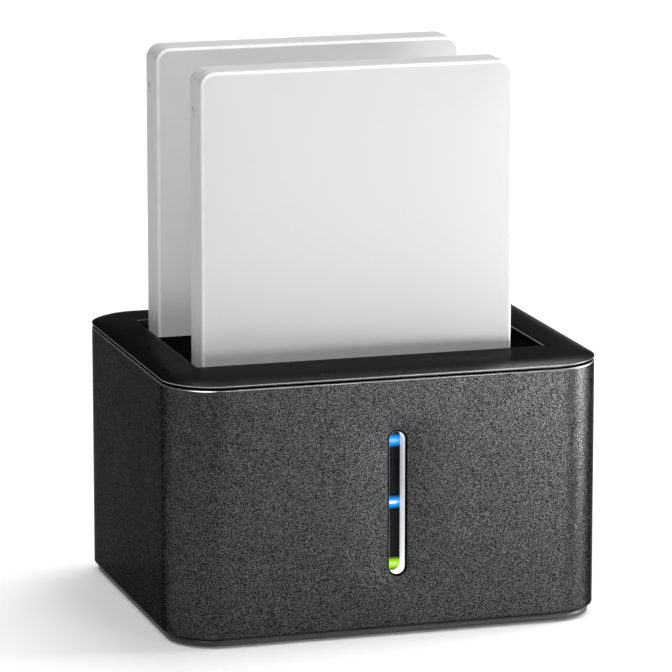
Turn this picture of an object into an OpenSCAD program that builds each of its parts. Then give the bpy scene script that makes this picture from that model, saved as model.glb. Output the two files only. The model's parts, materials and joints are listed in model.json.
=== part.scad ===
// Two-bay docking station for 2.5 inch drives, with a drive standing in each bay.
// Millimetres, +Z up. The origin is on the table under the middle of the body,
// -Y is the front with the light slot and +Y the rear with the ports.

/* [Body] */
// Width of the body, left to right
body_w = 97; // [94:0.5:115]
// Depth of the body, front to back
body_d = 82; // [80:0.5:105]
// Radius of the body's upright corners
corner_r = 11.5; // [10.5:0.5:14]
// Height of the sleeve between the base and the top cover
sleeve_h = 54.3; // [53:0.1:70]
// Wall thickness of the sleeve
wall = 2.2; // [2:0.1:2.6]
// Rounding of the sleeve's outer edges
edge_r = 0.4; // [0.2:0.1:0.6]
// Play between a plug rim and the sleeve around it
fit_gap = 0.2; // [0.1:0.05:0.3]
// Height of the plug rims that hold the sleeve in line
plug_h = 2.7; // [2:0.1:3.5]
// Thickness of the plug rims
plug_t = 1.6; // [1.2:0.1:2]

/* [Top cover] */
// Height of the groove between the sleeve and the cover
groove_h = 0.65; // [0.4:0.05:1]
// Depth of the grooves above and below the sleeve
groove_depth = 1.4; // [1:0.1:1.6]
// Height of the cover above the groove
cover_h = 1.35; // [1.1:0.05:2.5]
// Height of the cover's outermost edge
cover_edge_h = 0.3; // [0.2:0.05:0.6]
// Width of the rounded part of the rim
crown_run = 8; // [6:0.5:10]
// Depth of the well below the crest of the rim
well_depth = 12.6; // [8:0.1:16]
// Thickness of the well's side walls
well_wall = 2; // [1.5:0.1:2.5]
// Depth of the collar round the drives below the crest of the rim
collar_depth = 1.6; // [1.2:0.1:3]
// Thickness of the collar
collar_t = 1.2; // [1:0.1:2]
// How far the middle of the well lies behind the middle of the body
well_shift = 1; // [0:0.25:2]

/* [Base] */
// How far the rubber feet stand below the base
foot_drop = 0.6; // [0.4:0.1:1.5]
// Radius of a rubber foot
foot_r = 4.5; // [3.5:0.1:5]
// Depth of the pocket that holds a foot
foot_pocket = 0.6; // [0.4:0.1:0.8]
// Distance of a foot's middle from the body's sides
foot_in_x = 14.5; // [13.5:0.5:18]
// Distance of a foot's middle from the body's front and back
foot_in_y = 13; // [12:0.5:18]
// Height of the lip that shows under the sleeve
lip_h = 1.3; // [1:0.1:2]
// How far the lip stands inside the sleeve's outline
lip_inset = 1; // [0.5:0.1:1.4]
// Height of the shadow gap between the lip and the sleeve
base_gap = 0.4; // [0.3:0.05:0.8]
// Number of vent slots in the floor
vent_count = 6; // [3:1:8]
// Length of a vent slot
vent_len = 24; // [10:1:30]
// Width of a vent slot
vent_w = 1.8; // [1:0.1:2.5]
// Distance between neighbouring vent slots
vent_pitch = 5; // [4:0.5:6]

/* [Drives and bays] */
// Width of a drive
drive_w = 69.85; // [69:0.05:70.5]
// Length of a drive
drive_len = 100; // [99:0.1:101]
// Thickness of a drive
drive_t = 9.5; // [9:0.1:10.5]
// Corner radius of a drive seen from the front
drive_r = 3.2; // [2:0.1:4]
// Rounding along the edges of a drive's faces
drive_edge_r = 0.9; // [0.4:0.1:1.2]
// Wall thickness of a drive's two shells
drive_wall = 1.4; // [1.1:0.1:1.7]
// Thickness of a drive's front shell
drive_case_t = 4.4; // [4:0.1:4.8]
// Distance between the middles of the two drives
bay_pitch = 37; // [34:0.5:40]
// Gap left of a drive in the well
well_left_gap = 1.8; // [1.2:0.1:3]
// Gap right of a drive in the well
well_right_gap = 6.5; // [5:0.1:8]
// Gap before the front drive and behind the rear drive in the well
well_end_gap = 2.75; // [2.2:0.05:4]
// Play between a drive and its slot on each side
slot_gap = 0.5; // [0.3:0.05:0.8]
// Thickness of the well's floor
platform_t = 2; // [1.5:0.1:2.5]
// Length of the guide chutes below the well's floor
chute_h = 19.5; // [12:0.5:22]
// Wall thickness of the guide chutes
chute_wall = 1.5; // [1.2:0.1:1.6]
// Radius of the screw holes in a drive's sides
side_hole_r = 1.25; // [1:0.05:1.4]
// Depth of the screw holes in a drive's sides
side_hole_depth = 3.5; // [3:0.1:4.5]
// Distance of the side holes from a drive's rear face
side_hole_back = 3; // [2.6:0.1:3.2]
// Height of the lower side holes above a drive's connector edge
side_hole_low = 14; // [13:0.1:15]
// Height of the upper side holes above a drive's connector edge
side_hole_high = 90.6; // [88:0.1:92]

/* [Connectors] */
// Distance of the connector's middle left of the drive's middle
plug_left = 9.4; // [7:0.1:11]
// Width of the connector opening in a drive
plug_w = 41; // [40:0.1:43]
// Thickness of the connector opening in a drive
plug_open_t = 6.2; // [6:0.1:6.4]
// Depth of the connector opening in a drive
plug_depth = 6.5; // [6:0.1:8]
// Play between the connector opening and the socket head
plug_gap = 0.4; // [0.3:0.05:0.5]
// Thickness of the contact tongues in a drive
tongue_t = 1.2; // [1:0.05:1.3]
// Play between a tongue and its slot in the socket
tongue_gap = 0.35; // [0.3:0.05:0.45]
// Spacing of the contacts
contact_pitch = 1.27; // [1.2:0.01:1.3]
// Width of one contact
contact_w = 0.7; // [0.5:0.05:0.8]
// Height of the socket's foot, which sets how high a drive sits
socket_h = 13.4; // [12:0.1:16]
// Play under a seated drive
seat_gap = 0.3; // [0.2:0.05:0.5]

/* [Circuit board] */
// Gap between the main board and the sleeve on each side
board_side_gap = 4.3; // [3.3:0.1:5.3]
// Thickness of the main board
board_t = 1.6; // [1.2:0.1:2]
// Height of the posts under the main board
standoff_h = 3.7; // [3.2:0.1:5]
// Distance of the board's screws from its side edges
board_screw_side = 5; // [4:0.1:5.2]
// Distance of the front board screws from the board's front edge
board_screw_front = 7; // [6:0.5:8]
// Distance of the rear board screws behind the middle of the well
board_screw_rear = 7; // [3:0.5:9]

/* [Light slot] */
// Place of the light slot right of the body's middle
light_x = 0.7; // [-5:0.1:5]
// Height of the light slot's middle above the table
light_z = 29.5; // [28.5:0.1:30.5]
// Width of the light slot
light_w = 3.4; // [3:0.1:4]
// Length of the light slot
light_len = 31.2; // [28:0.1:32]
// Depth of the light slot
light_depth = 3.8; // [3.4:0.1:4.5]
// Thickness of the polished bezel in the slot
bezel_t = 0.45; // [0.3:0.05:0.6]
// Distance between neighbouring lamps
lamp_pitch = 13; // [11:0.1:13.5]

/* [Rear panel] */
// Height of the rear panel's window in the sleeve
panel_h = 17.6; // [17:0.1:20]
// How far the rear panel lies inside the sleeve's face
panel_recess = 1.5; // [1.4:0.1:1.8]
// Thickness of the rear panel
panel_t = 2.2; // [2:0.1:2.6]
// Width of the flange behind the panel's window
panel_flange = 1.5; // [1:0.1:1.5]
// Play around each port in the panel
port_gap = 0.25; // [0.15:0.05:0.35]
// Distance of the power inlet from the panel's right end
inlet_end = 8.5; // [7:0.5:10]
// Place of the data port right of the body's middle
data_x = 9; // [6:0.5:12]
// Place of the copy button right of the body's middle
copy_x = -7; // [-8:0.5:-4]
// Height of the copy button above the main board
copy_h = 5.8; // [5:0.1:8]
// Radius of the copy button
copy_r = 2.5; // [2:0.1:3]
// Travel of the copy button
copy_travel = 1; // [0.6:0.1:1.1]
// Distance of the power switch from the panel's left end
switch_end = 10.5; // [9.5:0.5:12]
// Height of the power switch's middle above the main board
switch_h = 9; // [8:0.1:10]
// Tilt of the power rocker to each side
rocker_tilt = 8; // [5:0.5:8]

/* [Hidden] */
$fn = 64;
cut = 1;

// Heights, from the table up
sleeve_z = foot_drop + lip_h + base_gap;
sleeve_top = sleeve_z + sleeve_h;
cover_z = sleeve_top + groove_h;
crest_z = cover_z + cover_h;
platform_z = crest_z - well_depth;
collar_z = crest_z - collar_depth - collar_t;
chute_z = platform_z - platform_t - chute_h;
rim_top = sleeve_z + plug_h;
board_z = sleeve_z + standoff_h;
board_top = board_z + board_t;
drive_z = board_top + socket_h + seat_gap;

// Faces of the sleeve
front_y = -body_d / 2;
rear_y = body_d / 2;
front_in = front_y + wall;
rear_in = rear_y - wall;
plug_inset = wall + fit_gap;

// The well, the bays and the drives in them
well_w = drive_w + well_left_gap + well_right_gap;
well_d = bay_pitch + drive_t + 2 * well_end_gap;
bay_x = (well_left_gap - well_right_gap) / 2;
bay_y = [well_shift - bay_pitch / 2, well_shift + bay_pitch / 2];
slot_w = drive_w + 2 * slot_gap;
slot_d = drive_t + 2 * slot_gap;
collar_leg = [3, well_end_gap - slot_gap - 3 * fit_gap];
seam_y = drive_case_t - drive_t / 2;
crown_rise = cover_h - cover_edge_h;
crown_r = (crown_run * crown_run + crown_rise * crown_rise) / (2 * crown_rise);
crown_steps = 256;

// Screws: shank radius, head radius, head height. The cross in a head is given in head radii.
base_screw = [1.4, 2.7, 1.3];
bay_screw = [1.1, 2.2, 1.4];
board_screw = [1.1, 2.4, 1.4];
lamp_screw = [0.8, 1.7, 1.1];
drive_screw = [0.7, 1.4, 0.7];
screw_cross = [1.1, 0.24];
screw_play = 0.1;
hole_play = 0.3;
base_screw_len = 13;
bay_screw_len = 8;
board_screw_len = 3;
lamp_screw_len = 3;
drive_screw_len = 1.6;
screw_tip_play = 0.6;

// Corner posts under the cover and the bosses that hold the bay frame
post_r = 3;
post_back = 0.4;
post_in = corner_r - (corner_r - plug_inset - post_r - post_back) * sqrt(0.5);
post_x = body_w / 2 - post_in;
post_y = body_d / 2 - post_in;
boss_r = 2.4;
boss_in = 9;
boss_gap = 0.2;
ear_wall = 0.6;
boss_x = well_w / 2 - boss_in;
boss_y = well_d / 2 + well_wall + boss_r + boss_gap;
ear_r = boss_r + ear_wall;
boss_depth = bay_screw_len - platform_t + screw_tip_play;
post_bore = base_screw_len - (rim_top - foot_drop - base_screw[2] - screw_play) + screw_tip_play;

// Light slot, and the lamp board behind it
lamp_board_t = 1.2;
lamp_h = 0.6;
lamp_size = 1.6;
window_t = 1;
window_play = 0.1;
slot_floor_y = front_y + light_depth;
lamp_board_y = slot_floor_y + window_t + window_play + lamp_h;
lamp_board_back = lamp_board_y + lamp_board_t;
lamp_board_w = 8;
lamp_screw_out = 3.6;
lamp_board_end = 2.5;
lamp_screw_z = light_len / 2 + lamp_screw_out;
lamp_board_h = 2 * (lamp_screw_z + lamp_board_end);
lamp_boss_r = 2.1;
bezel_flange = 0.9;
bezel_play = 0.1;

// Main board, between the lamp board's screws and the rear panel
standoff_r = 2.6;
panel_y = rear_y - panel_recess;
panel_in = panel_y - panel_t;
board_w = body_w - 2 * (wall + board_side_gap);
board_front = lamp_board_back + lamp_screw[2] + hole_play;
board_back = panel_in - hole_play;
board_screw_x = board_w / 2 - board_screw_side;
board_screw_y = [board_front + board_screw_front, well_shift + board_screw_rear];

// Parts on the main board: length, width and height of each, and its place.
// The coils and the cans are placed from the board's right edge, the rest from the middle of the body.
bridge_size = [10, 10, 1.1];
bridge_x = -2;
flash_size = [5, 6, 1.6];
flash_x = -17;
crystal_size = [11, 4.6, 3.2];
crystal_x = 12;
coil_size = [7.2, 7.2, 4];
coil_corner_r = 1.6;
coil_edge_r = 0.5;
coil_in = 16;
coil_front = [11, 2];
can_r = 3.1;
can_h = 6.6;
can_seat = [6.6, 6.6, 0.8];
can_in = [18, 8];
can_front = 2.5;

// Drive connector: width, number of contacts and middle of the signal and the power tongue
signal_contacts = 7;
power_contacts = 15;
tongue_margin = 0.26;
tongue_spacing = 3.88;
function tongue_w(contacts) = (contacts - 1) * contact_pitch + contact_w + 2 * tongue_margin;
signal_w = tongue_w(signal_contacts);
power_w = tongue_w(power_contacts);
signal_x = -(power_w + tongue_spacing) / 2;
power_x = (signal_w + tongue_spacing) / 2;
tongues = [[signal_w, signal_contacts, signal_x], [power_w, power_contacts, power_x]];
tongue_key = 1.1;
tongue_end = 1;
tongue_key_w = 1.1;
plug_body_h = 2.5;
head_play = 0.6;
head_top = plug_depth - head_play;
socket_margin = 1.5;
contact_t = 0.08;
spring_t = 0.12;
contact_len = 4.2;

// Drive board, its chips and its screws
drive_board_t = 1.2;
drive_board_play = 1;
drive_board_w = drive_w - 2 * (side_hole_depth + drive_wall + drive_board_play);
drive_board_h = 62;
drive_board_z = plug_depth + plug_body_h;
drive_post_r = 2.2;
drive_post_side = 3;
drive_post_low = 12;
drive_post_high = 58;
drive_post_x = drive_board_w / 2 - drive_post_side;
drive_post_z = [drive_board_z + drive_post_low, drive_board_z + drive_post_high];
chip_t = 1;
memory_size = [13, 18];
memory_x = [-16, 2];
memory_up = [19, 39];
controller_size = [13, 13];
controller_x = 20;
controller_up = 15;
side_boss_w = 4 * side_hole_r;

// Rear panel and what is behind it
panel_side = 1;
panel_w = body_w - 2 * (corner_r + panel_flange + panel_side);
panel_z = rim_top + hole_play + panel_flange;
inlet_x = panel_w / 2 - inlet_end;
switch_x = switch_end - panel_w / 2;
inlet_size = [9, 11, 10.4];
inlet_bore_r = 3.1;
inlet_bore_depth = 9;
inlet_pin_r = 1;
inlet_pin_back = 1;
data_size = [8.9, 7.4, 3.2];
data_skin = 0.3;
data_back = 1;
data_tongue = [6.7, 5, 0.7];
copy_flange = [0.9, 1];
copy_proud = 1.1;
copy_play = 0.1;
plunger_r = 1.1;
tact_w = 6.4;
tact_d = 4.4;
tact_over = 3.2;
tact_bore_depth = 3.3;
switch_size = [13.4, 8, 8.6];
switch_bezel = [15, 0.8, 10.2];
switch_skin = 0.8;
lead_size = [1, 0.6];
lead_x = 3;
lead_back = 2;
rocker_w = 10.4;
rocker_h = 6.5;
rocker_end = 2.5;
rocker_dip = 0.7;
rocker_below = 0.8;
rocker_pin_r = 0.8;
rocker_pin_play = 0.07;
rocker_pin_len = 0.5;
pivot_depth = 2.3;
pivot_y = panel_y - pivot_depth;
rocker_well = 2;
copy_z = board_top + copy_h;
switch_z = board_top + switch_h;
flange_y = panel_in - copy_play - copy_flange[1];
tact_y = flange_y - copy_travel - 2 * copy_play;

// Flat cable from the lamp board down to the main board
cable_t = 0.3;
cable_w = 8;
cable_bend = 1.5;
cable_run = 0.6;
cable_lift = 0.6;
cable_rise = 7;
cable_plug = [9.6, 3.2, 3.2];
cable_z = board_top + cable_lift;
cable_y = lamp_board_back + cable_plug[1] / 2;
cable_top = board_top + cable_rise;
cable_end = cable_y + cable_bend + cable_run;

// Colours
textured_black = [0.13, 0.13, 0.14];
satin_black = [0.09, 0.09, 0.1];
rubber_black = [0.05, 0.05, 0.05];
steel = [0.7, 0.7, 0.72];
gold = [0.85, 0.68, 0.3];
board_green = [0.1, 0.33, 0.2];
chip_black = [0.12, 0.12, 0.13];
drive_silver = [0.85, 0.85, 0.86];
lamp_blue = [0.2, 0.6, 1];
lamp_green = [0.5, 0.9, 0.2];
connector_cream = [0.9, 0.88, 0.8];
cable_white = [0.85, 0.85, 0.8];

BAYS = ["front", "rear"];
FEET = [["front_left", -1, -1], ["front_right", 1, -1], ["rear_left", -1, 1], ["rear_right", 1, 1]];
LAMPS = [["upper_lamp", 1, lamp_blue], ["middle_lamp", 0, lamp_blue], ["lower_lamp", -1, lamp_green]];
function foot_node(foot) = str("foot_", foot[0]);
function socket_node(bay) = str(BAYS[bay], "_socket");
function spring_node(bay) = str(BAYS[bay], "_socket_contacts");
function drive_node(bay, piece) = str(BAYS[bay], "_drive_", piece);
DRIVE_PIECES = ["case", "cover", "board", "plug", "contacts", "memory", "controller", "screws"];

// A rectangle with round corners, about its middle
module rounded(w, d, r) {
    square([w - 2 * r, d], center = true);
    square([w, d - 2 * r], center = true);
    for (x = [-1, 1], y = [-1, 1])
        translate([x * (w / 2 - r), y * (d / 2 - r)]) circle(r);
}

// The body's outline drawn in by a margin
module outline(inset) {
    rounded(body_w - 2 * inset, body_d - 2 * inset, corner_r - inset);
}

// An upright slot with round ends
module stadium(w, h) {
    square([w, h - w], center = true);
    for (y = [-1, 1]) translate([0, y * (h - w) / 2]) circle(d = w);
}

// Carries a profile round a rounded rectangle: the profile's x runs outwards from the corner's centre
module around(w, d, r) {
    for (side = [0:3]) {
        out = (side % 2 == 0 ? w : d) / 2 - r;
        run = (side % 2 == 0 ? d : w) - 2 * r;
        rotate(90 * side) translate([out, run / 2, 0]) {
            rotate([90, 0, 0]) linear_extrude(run) children();
            rotate_extrude(angle = 90) children();
        }
    }
}

// A plate with round corners and a rounded upper edge
module pillow(w, d, r, h, e) {
    around(w, d, r) {
        square([r - e, h]);
        square([r, h - e]);
        translate([r - e, h - e]) circle(e);
    }
    linear_extrude(h) square([w - 2 * r, d - 2 * r], center = true);
}

// A screw with its head's underside at the origin, pointing up
module screw(sizes, len) {
    cylinder(r = sizes[0], h = len);
    translate([0, 0, -sizes[2]]) difference() {
        cylinder(r = sizes[1], h = sizes[2]);
        for (turn = [0, 90]) rotate(turn)
            cube([sizes[1] * screw_cross[0], sizes[1] * screw_cross[1], sizes[2]], center = true);
    }
}

// Copies for the four corners
module at_corners(x, y) {
    for (side = [-1, 1], end = [-1, 1]) translate([side * x, end * y, 0]) children();
}

module at_well() { translate([0, well_shift, 0]) children(); }

module at_bay(bay) { translate([bay_x, bay_y[bay], 0]) children(); }

module at_board_screws() {
    for (side = [-1, 1], y = board_screw_y) translate([side * board_screw_x, y, 0]) children();
}

// Turns what is drawn in X and Z so that it is extruded towards the front
module facing_front(y, depth) {
    translate([0, y, 0]) rotate([90, 0, 0]) linear_extrude(depth) children();
}

module sleeve_profile() {
    translate([corner_r - wall, 0]) square([wall - edge_r, sleeve_h]);
    translate([corner_r - wall, edge_r]) square([wall, sleeve_h - 2 * edge_r]);
    for (z = [edge_r, sleeve_h - edge_r]) translate([corner_r - edge_r, z]) circle(edge_r);
}

module light_outline(margin) {
    translate([light_x, light_z]) stadium(light_w + 2 * margin, light_len + 2 * margin);
}

module at_lamp_screws() {
    for (end = [-1, 1]) translate([light_x, 0, light_z + end * lamp_screw_z]) children();
}

module panel_window(margin) {
    translate([-panel_w / 2 - margin, panel_z - margin])
        square([panel_w + 2 * margin, panel_h + 2 * margin]);
}

module body_sleeve() color(textured_black) difference() {
    union() {
        translate([0, 0, sleeve_z]) around(body_w, body_d, corner_r) sleeve_profile();
        at_lamp_screws() translate([0, lamp_board_y, 0]) rotate([90, 0, 0])
            cylinder(r = lamp_boss_r, h = lamp_board_y - front_in);
    }
    facing_front(front_in + cut, wall + 2 * cut) light_outline(bezel_t + bezel_play);
    facing_front(rear_y + cut, wall + 2 * cut) panel_window(0);
    at_lamp_screws() translate([0, lamp_board_y + cut, 0]) rotate([90, 0, 0])
        cylinder(r = lamp_screw[0] + screw_play, h = lamp_screw_len - lamp_board_t + screw_play + cut);
}

module crown_profile() {
    square([corner_r - crown_run, cover_h]);
    intersection() {
        translate([corner_r - crown_run, 0]) square([crown_run, cover_h]);
        translate([corner_r - crown_run, cover_h - crown_r]) circle(crown_r, $fn = crown_steps);
    }
}

module at_bosses() { at_well() at_corners(boss_x, boss_y) children(); }

module top_cover() color(satin_black) difference() {
    union() {
        translate([0, 0, cover_z]) {
            around(body_w, body_d, corner_r) crown_profile();
            linear_extrude(cover_h) square([body_w - 2 * corner_r, body_d - 2 * corner_r], center = true);
        }
        translate([0, 0, sleeve_top]) linear_extrude(groove_h) outline(groove_depth);
        translate([0, 0, sleeve_top - plug_h]) linear_extrude(plug_h) difference() {
            outline(plug_inset);
            outline(plug_inset + plug_t);
        }
        at_well() translate([0, 0, platform_z]) linear_extrude(cover_z - platform_z)
            square([well_w + 2 * well_wall, well_d + 2 * well_wall], center = true);
        at_corners(post_x, post_y) translate([0, 0, rim_top]) cylinder(r = post_r, h = cover_z - rim_top);
        at_bosses() translate([0, 0, platform_z]) cylinder(r = boss_r, h = cover_z - platform_z);
    }
    at_well() translate([0, 0, platform_z - cut]) linear_extrude(well_depth + 2 * cut)
        square([well_w, well_d], center = true);
    at_corners(post_x, post_y) translate([0, 0, rim_top - cut])
        cylinder(r = base_screw[0] + screw_play, h = post_bore + cut);
    at_bosses() translate([0, 0, platform_z - cut])
        cylinder(r = bay_screw[0] + screw_play, h = boss_depth + cut);
}

module bay_frame() color(satin_black) difference() {
    union() {
        translate([0, 0, platform_z - platform_t]) linear_extrude(platform_t) difference() {
            union() {
                at_well() square([well_w + 2 * well_wall, well_d + 2 * well_wall], center = true);
                at_bosses() circle(ear_r);
            }
            at_corners(post_x, post_y) circle(post_r + hole_play);
        }
        for (bay = [0, 1]) at_bay(bay) translate([0, 0, chute_z]) linear_extrude(chute_h + platform_t / 2)
            square([slot_w + 2 * chute_wall, slot_d + 2 * chute_wall], center = true);
    }
    for (bay = [0, 1]) at_bay(bay) translate([0, 0, chute_z - cut])
        linear_extrude(chute_h + platform_t + 2 * cut) square([slot_w, slot_d], center = true);
    at_bosses() translate([0, 0, platform_z - platform_t - cut])
        cylinder(r = bay_screw[0] + hole_play, h = platform_t + 2 * cut);
}

// A plate across the well, on four legs that stand on the well's floor
module bay_collar() color(satin_black) difference() {
    at_well() {
        translate([0, 0, collar_z]) linear_extrude(collar_t)
            square([well_w - 2 * fit_gap, well_d - 2 * fit_gap], center = true);
        at_corners(well_w / 2 - fit_gap - collar_leg[0] / 2, well_d / 2 - fit_gap - collar_leg[1] / 2)
            translate([0, 0, platform_z]) linear_extrude(collar_z - platform_z + collar_t / 2)
                square(collar_leg, center = true);
    }
    for (bay = [0, 1]) at_bay(bay) translate([0, 0, collar_z - cut])
        linear_extrude(collar_t + 2 * cut) square([slot_w, slot_d], center = true);
}

module base_plate() color(satin_black) difference() {
    union() {
        translate([0, 0, foot_drop]) linear_extrude(lip_h) outline(lip_inset);
        translate([0, 0, foot_drop + lip_h]) linear_extrude(base_gap) outline(groove_depth);
        translate([0, 0, sleeve_z]) linear_extrude(plug_h) difference() {
            outline(plug_inset);
            outline(plug_inset + plug_t);
        }
        at_corners(post_x, post_y) translate([0, 0, sleeve_z]) cylinder(r = post_r, h = plug_h);
        at_board_screws() translate([0, 0, sleeve_z]) cylinder(r = standoff_r, h = standoff_h);
    }
    at_corners(body_w / 2 - foot_in_x, body_d / 2 - foot_in_y) translate([0, 0, foot_drop - cut])
        cylinder(r = foot_r + screw_play, h = foot_pocket + cut);
    at_corners(post_x, post_y) translate([0, 0, foot_drop - cut]) {
        cylinder(r = base_screw[1] + hole_play, h = base_screw[2] + screw_play + cut);
        cylinder(r = base_screw[0] + hole_play, h = rim_top - foot_drop + 2 * cut);
    }
    at_board_screws() translate([0, 0, board_z - board_screw_len + board_t - screw_play])
        cylinder(r = board_screw[0] + screw_play, h = standoff_h + cut);
    for (i = [0 : vent_count - 1]) translate([(i - (vent_count - 1) / 2) * vent_pitch, 0, foot_drop - cut])
        linear_extrude(lip_h + base_gap + 2 * cut) stadium(vent_w, vent_len);
}

module foot(foot) color(rubber_black)
    translate([foot[1] * (body_w / 2 - foot_in_x), foot[2] * (body_d / 2 - foot_in_y), 0])
        cylinder(r = foot_r, h = foot_drop + foot_pocket);

module base_screws() color(steel)
    at_corners(post_x, post_y) translate([0, 0, foot_drop + base_screw[2] + screw_play])
        screw(base_screw, base_screw_len);

module bay_screws() color(steel)
    at_bosses() translate([0, 0, platform_z - platform_t]) screw(bay_screw, bay_screw_len);

module board_screws() color(steel)
    at_board_screws() translate([0, 0, board_top]) rotate([180, 0, 0]) screw(board_screw, board_screw_len);

// The board's corners are cut away round the posts
module main_board() color(board_green) translate([0, 0, board_z]) linear_extrude(board_t) difference() {
    translate([-board_w / 2, board_front]) square([board_w, board_back - board_front]);
    at_corners(body_w / 2, body_d / 2) square(2 * (post_in + post_r + hole_play), center = true);
    at_board_screws() circle(board_screw[0] + hole_play);
}

// The places of the tongues' L-shaped outlines, seen from above and grown by a margin
module tongue_outline(tongue, margin) {
    translate([tongue[2] - tongue[0] / 2 - margin, -tongue_t / 2 - margin])
        square([tongue[0] + 2 * margin, tongue_t + 2 * margin]);
    translate([tongue[2] - tongue[0] / 2 - margin, -tongue_t / 2 - margin])
        square([tongue_key_w + 2 * margin, tongue_t + tongue_key + 2 * margin]);
}

// A strip for each contact of a tongue
module contact_row(size) {
    for (tongue = tongues) for (i = [0 : tongue[1] - 1])
        translate([tongue[2] + (i - (tongue[1] - 1) / 2) * contact_pitch - size[0] / 2, 0, 0]) cube(size);
}

module at_plug(bay) { at_bay(bay) translate([-plug_left, 0, 0]) children(); }

module socket(bay) color(chip_black) at_plug(bay) difference() {
    union() {
        translate([0, 0, board_top]) linear_extrude(socket_h)
            square([plug_w + 2 * socket_margin, plug_open_t + 2 * socket_margin], center = true);
        translate([0, 0, board_top + socket_h - cut]) linear_extrude(head_top + seat_gap + cut)
            square([plug_w - 2 * plug_gap, plug_open_t - 2 * plug_gap], center = true);
    }
    translate([0, 0, drive_z + tongue_end - head_play]) linear_extrude(head_top + cut)
        for (tongue = tongues) tongue_outline(tongue, tongue_gap);
}

module socket_contacts(bay) color(gold) at_plug(bay)
    translate([0, -tongue_t / 2 - tongue_gap, drive_z + tongue_end])
        contact_row([contact_w, spring_t, contact_len]);

module on_board(x, y) { translate([x, y, board_top]) children(); }

module chip(size) { translate([-size[0] / 2, -size[1] / 2, 0]) cube(size); }

module bridge_chip() color(chip_black) on_board(bridge_x, well_shift) chip(bridge_size);

module flash_chip() color(chip_black) on_board(flash_x, well_shift) chip(flash_size);

module crystal_can() color(steel) on_board(crystal_x, well_shift) linear_extrude(crystal_size[2])
    rotate(90) stadium(crystal_size[1], crystal_size[0]);

module inductors() color(chip_black)
    for (front = coil_front) on_board(board_w / 2 - coil_in, well_shift - front)
        pillow(coil_size[0], coil_size[1], coil_corner_r, coil_size[2], coil_edge_r);

module capacitors() color(steel)
    for (inward = can_in) on_board(board_w / 2 - inward, bay_y[1] - can_front) {
        chip(can_seat);
        translate([0, 0, can_seat[2]]) cylinder(r = can_r, h = can_h);
    }

module data_outline(margin) {
    translate([data_x, board_top + data_size[2] / 2]) rotate(90)
        stadium(data_size[2] + 2 * margin, data_size[0] + 2 * margin);
}

module data_port() color(steel) difference() {
    facing_front(panel_y, data_size[1]) data_outline(0);
    facing_front(panel_y + cut, data_size[1] - data_back + cut) data_outline(-data_skin);
}

module data_tongue() color(chip_black)
    translate([data_x - data_tongue[0] / 2, panel_y - data_size[1] + data_back,
               board_top + data_size[2] / 2 - data_tongue[2] / 2])
        cube(data_tongue);

module inlet_outline(margin) {
    translate([inlet_x - inlet_size[0] / 2 - margin, board_top - margin])
        square([inlet_size[0] + 2 * margin, inlet_size[2] + 2 * margin]);
}

module at_inlet(y) { translate([inlet_x, y, board_top + inlet_size[2] / 2]) rotate([90, 0, 0]) children(); }

module power_inlet() color(chip_black) difference() {
    facing_front(panel_y, inlet_size[1]) inlet_outline(0);
    at_inlet(panel_y + cut) cylinder(r = inlet_bore_r, h = inlet_bore_depth + cut);
}

module inlet_pin() color(steel) at_inlet(panel_y - inlet_pin_back)
    cylinder(r = inlet_pin_r, h = inlet_bore_depth - inlet_pin_back);

module copy_hole(r) { translate([copy_x, copy_z]) circle(r); }

module switch_outline(size, margin) {
    translate([switch_x, switch_z]) square([size[0] + 2 * margin, size[2] + 2 * margin], center = true);
}

module rear_panel() color(satin_black) difference() {
    union() {
        facing_front(panel_y, panel_t) panel_window(-port_gap / 2);
        facing_front(rear_in, rear_in - panel_in) panel_window(panel_flange);
    }
    facing_front(panel_y + cut, panel_t + 2 * cut) {
        data_outline(port_gap);
        inlet_outline(port_gap);
        copy_hole(copy_r + port_gap);
        switch_outline(switch_size, port_gap);
    }
}

module at_rocker() { translate([switch_x, pivot_y, switch_z]) children(); }

module switch_housing() color(chip_black) difference() {
    union() {
        facing_front(panel_y, panel_t + switch_size[1]) switch_outline(switch_size, 0);
        facing_front(panel_y + switch_bezel[1], switch_bezel[1]) switch_outline(switch_bezel, 0);
    }
    facing_front(panel_y + switch_bezel[1] + cut, panel_y + switch_bezel[1] + cut - pivot_y + rocker_well)
        switch_outline(switch_size, -switch_skin);
    at_rocker()
        cylinder(r = rocker_pin_r + rocker_pin_play, h = switch_size[2] - switch_skin / 2, center = true);
}

module switch_leads() color(steel)
    for (side = [-1, 1])
        translate([switch_x + side * lead_x, panel_in - switch_size[1] + lead_back, board_top])
            chip([lead_size[0], lead_size[1], switch_h - switch_size[2] / 2]);

module power_rocker() color(satin_black) at_rocker() rotate(rocker_tilt) {
    linear_extrude(rocker_h, center = true) polygon([
        [-rocker_w / 2, -rocker_below], [rocker_w / 2, -rocker_below], [rocker_w / 2, rocker_end],
        [0, rocker_end - rocker_dip], [-rocker_w / 2, rocker_end]]);
    cylinder(r = rocker_pin_r, h = switch_size[2] - 2 * switch_skin + 2 * rocker_pin_len, center = true);
}

module copy_switch() color(chip_black) difference() {
    translate([copy_x - tact_w / 2, tact_y - tact_d, board_top]) cube([tact_w, tact_d, copy_h + tact_over]);
    facing_front(tact_y + cut, tact_bore_depth + cut) copy_hole(plunger_r + 2 * screw_play);
}

module copy_button() color(satin_black) {
    facing_front(panel_y + copy_proud, panel_y + copy_proud - flange_y) copy_hole(copy_r);
    facing_front(flange_y + copy_flange[1], copy_flange[1]) copy_hole(copy_r + copy_flange[0]);
}

module copy_plunger() color(steel)
    facing_front(flange_y, flange_y - tact_y + tact_bore_depth - copy_travel - hole_play)
        copy_hole(plunger_r);

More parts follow.
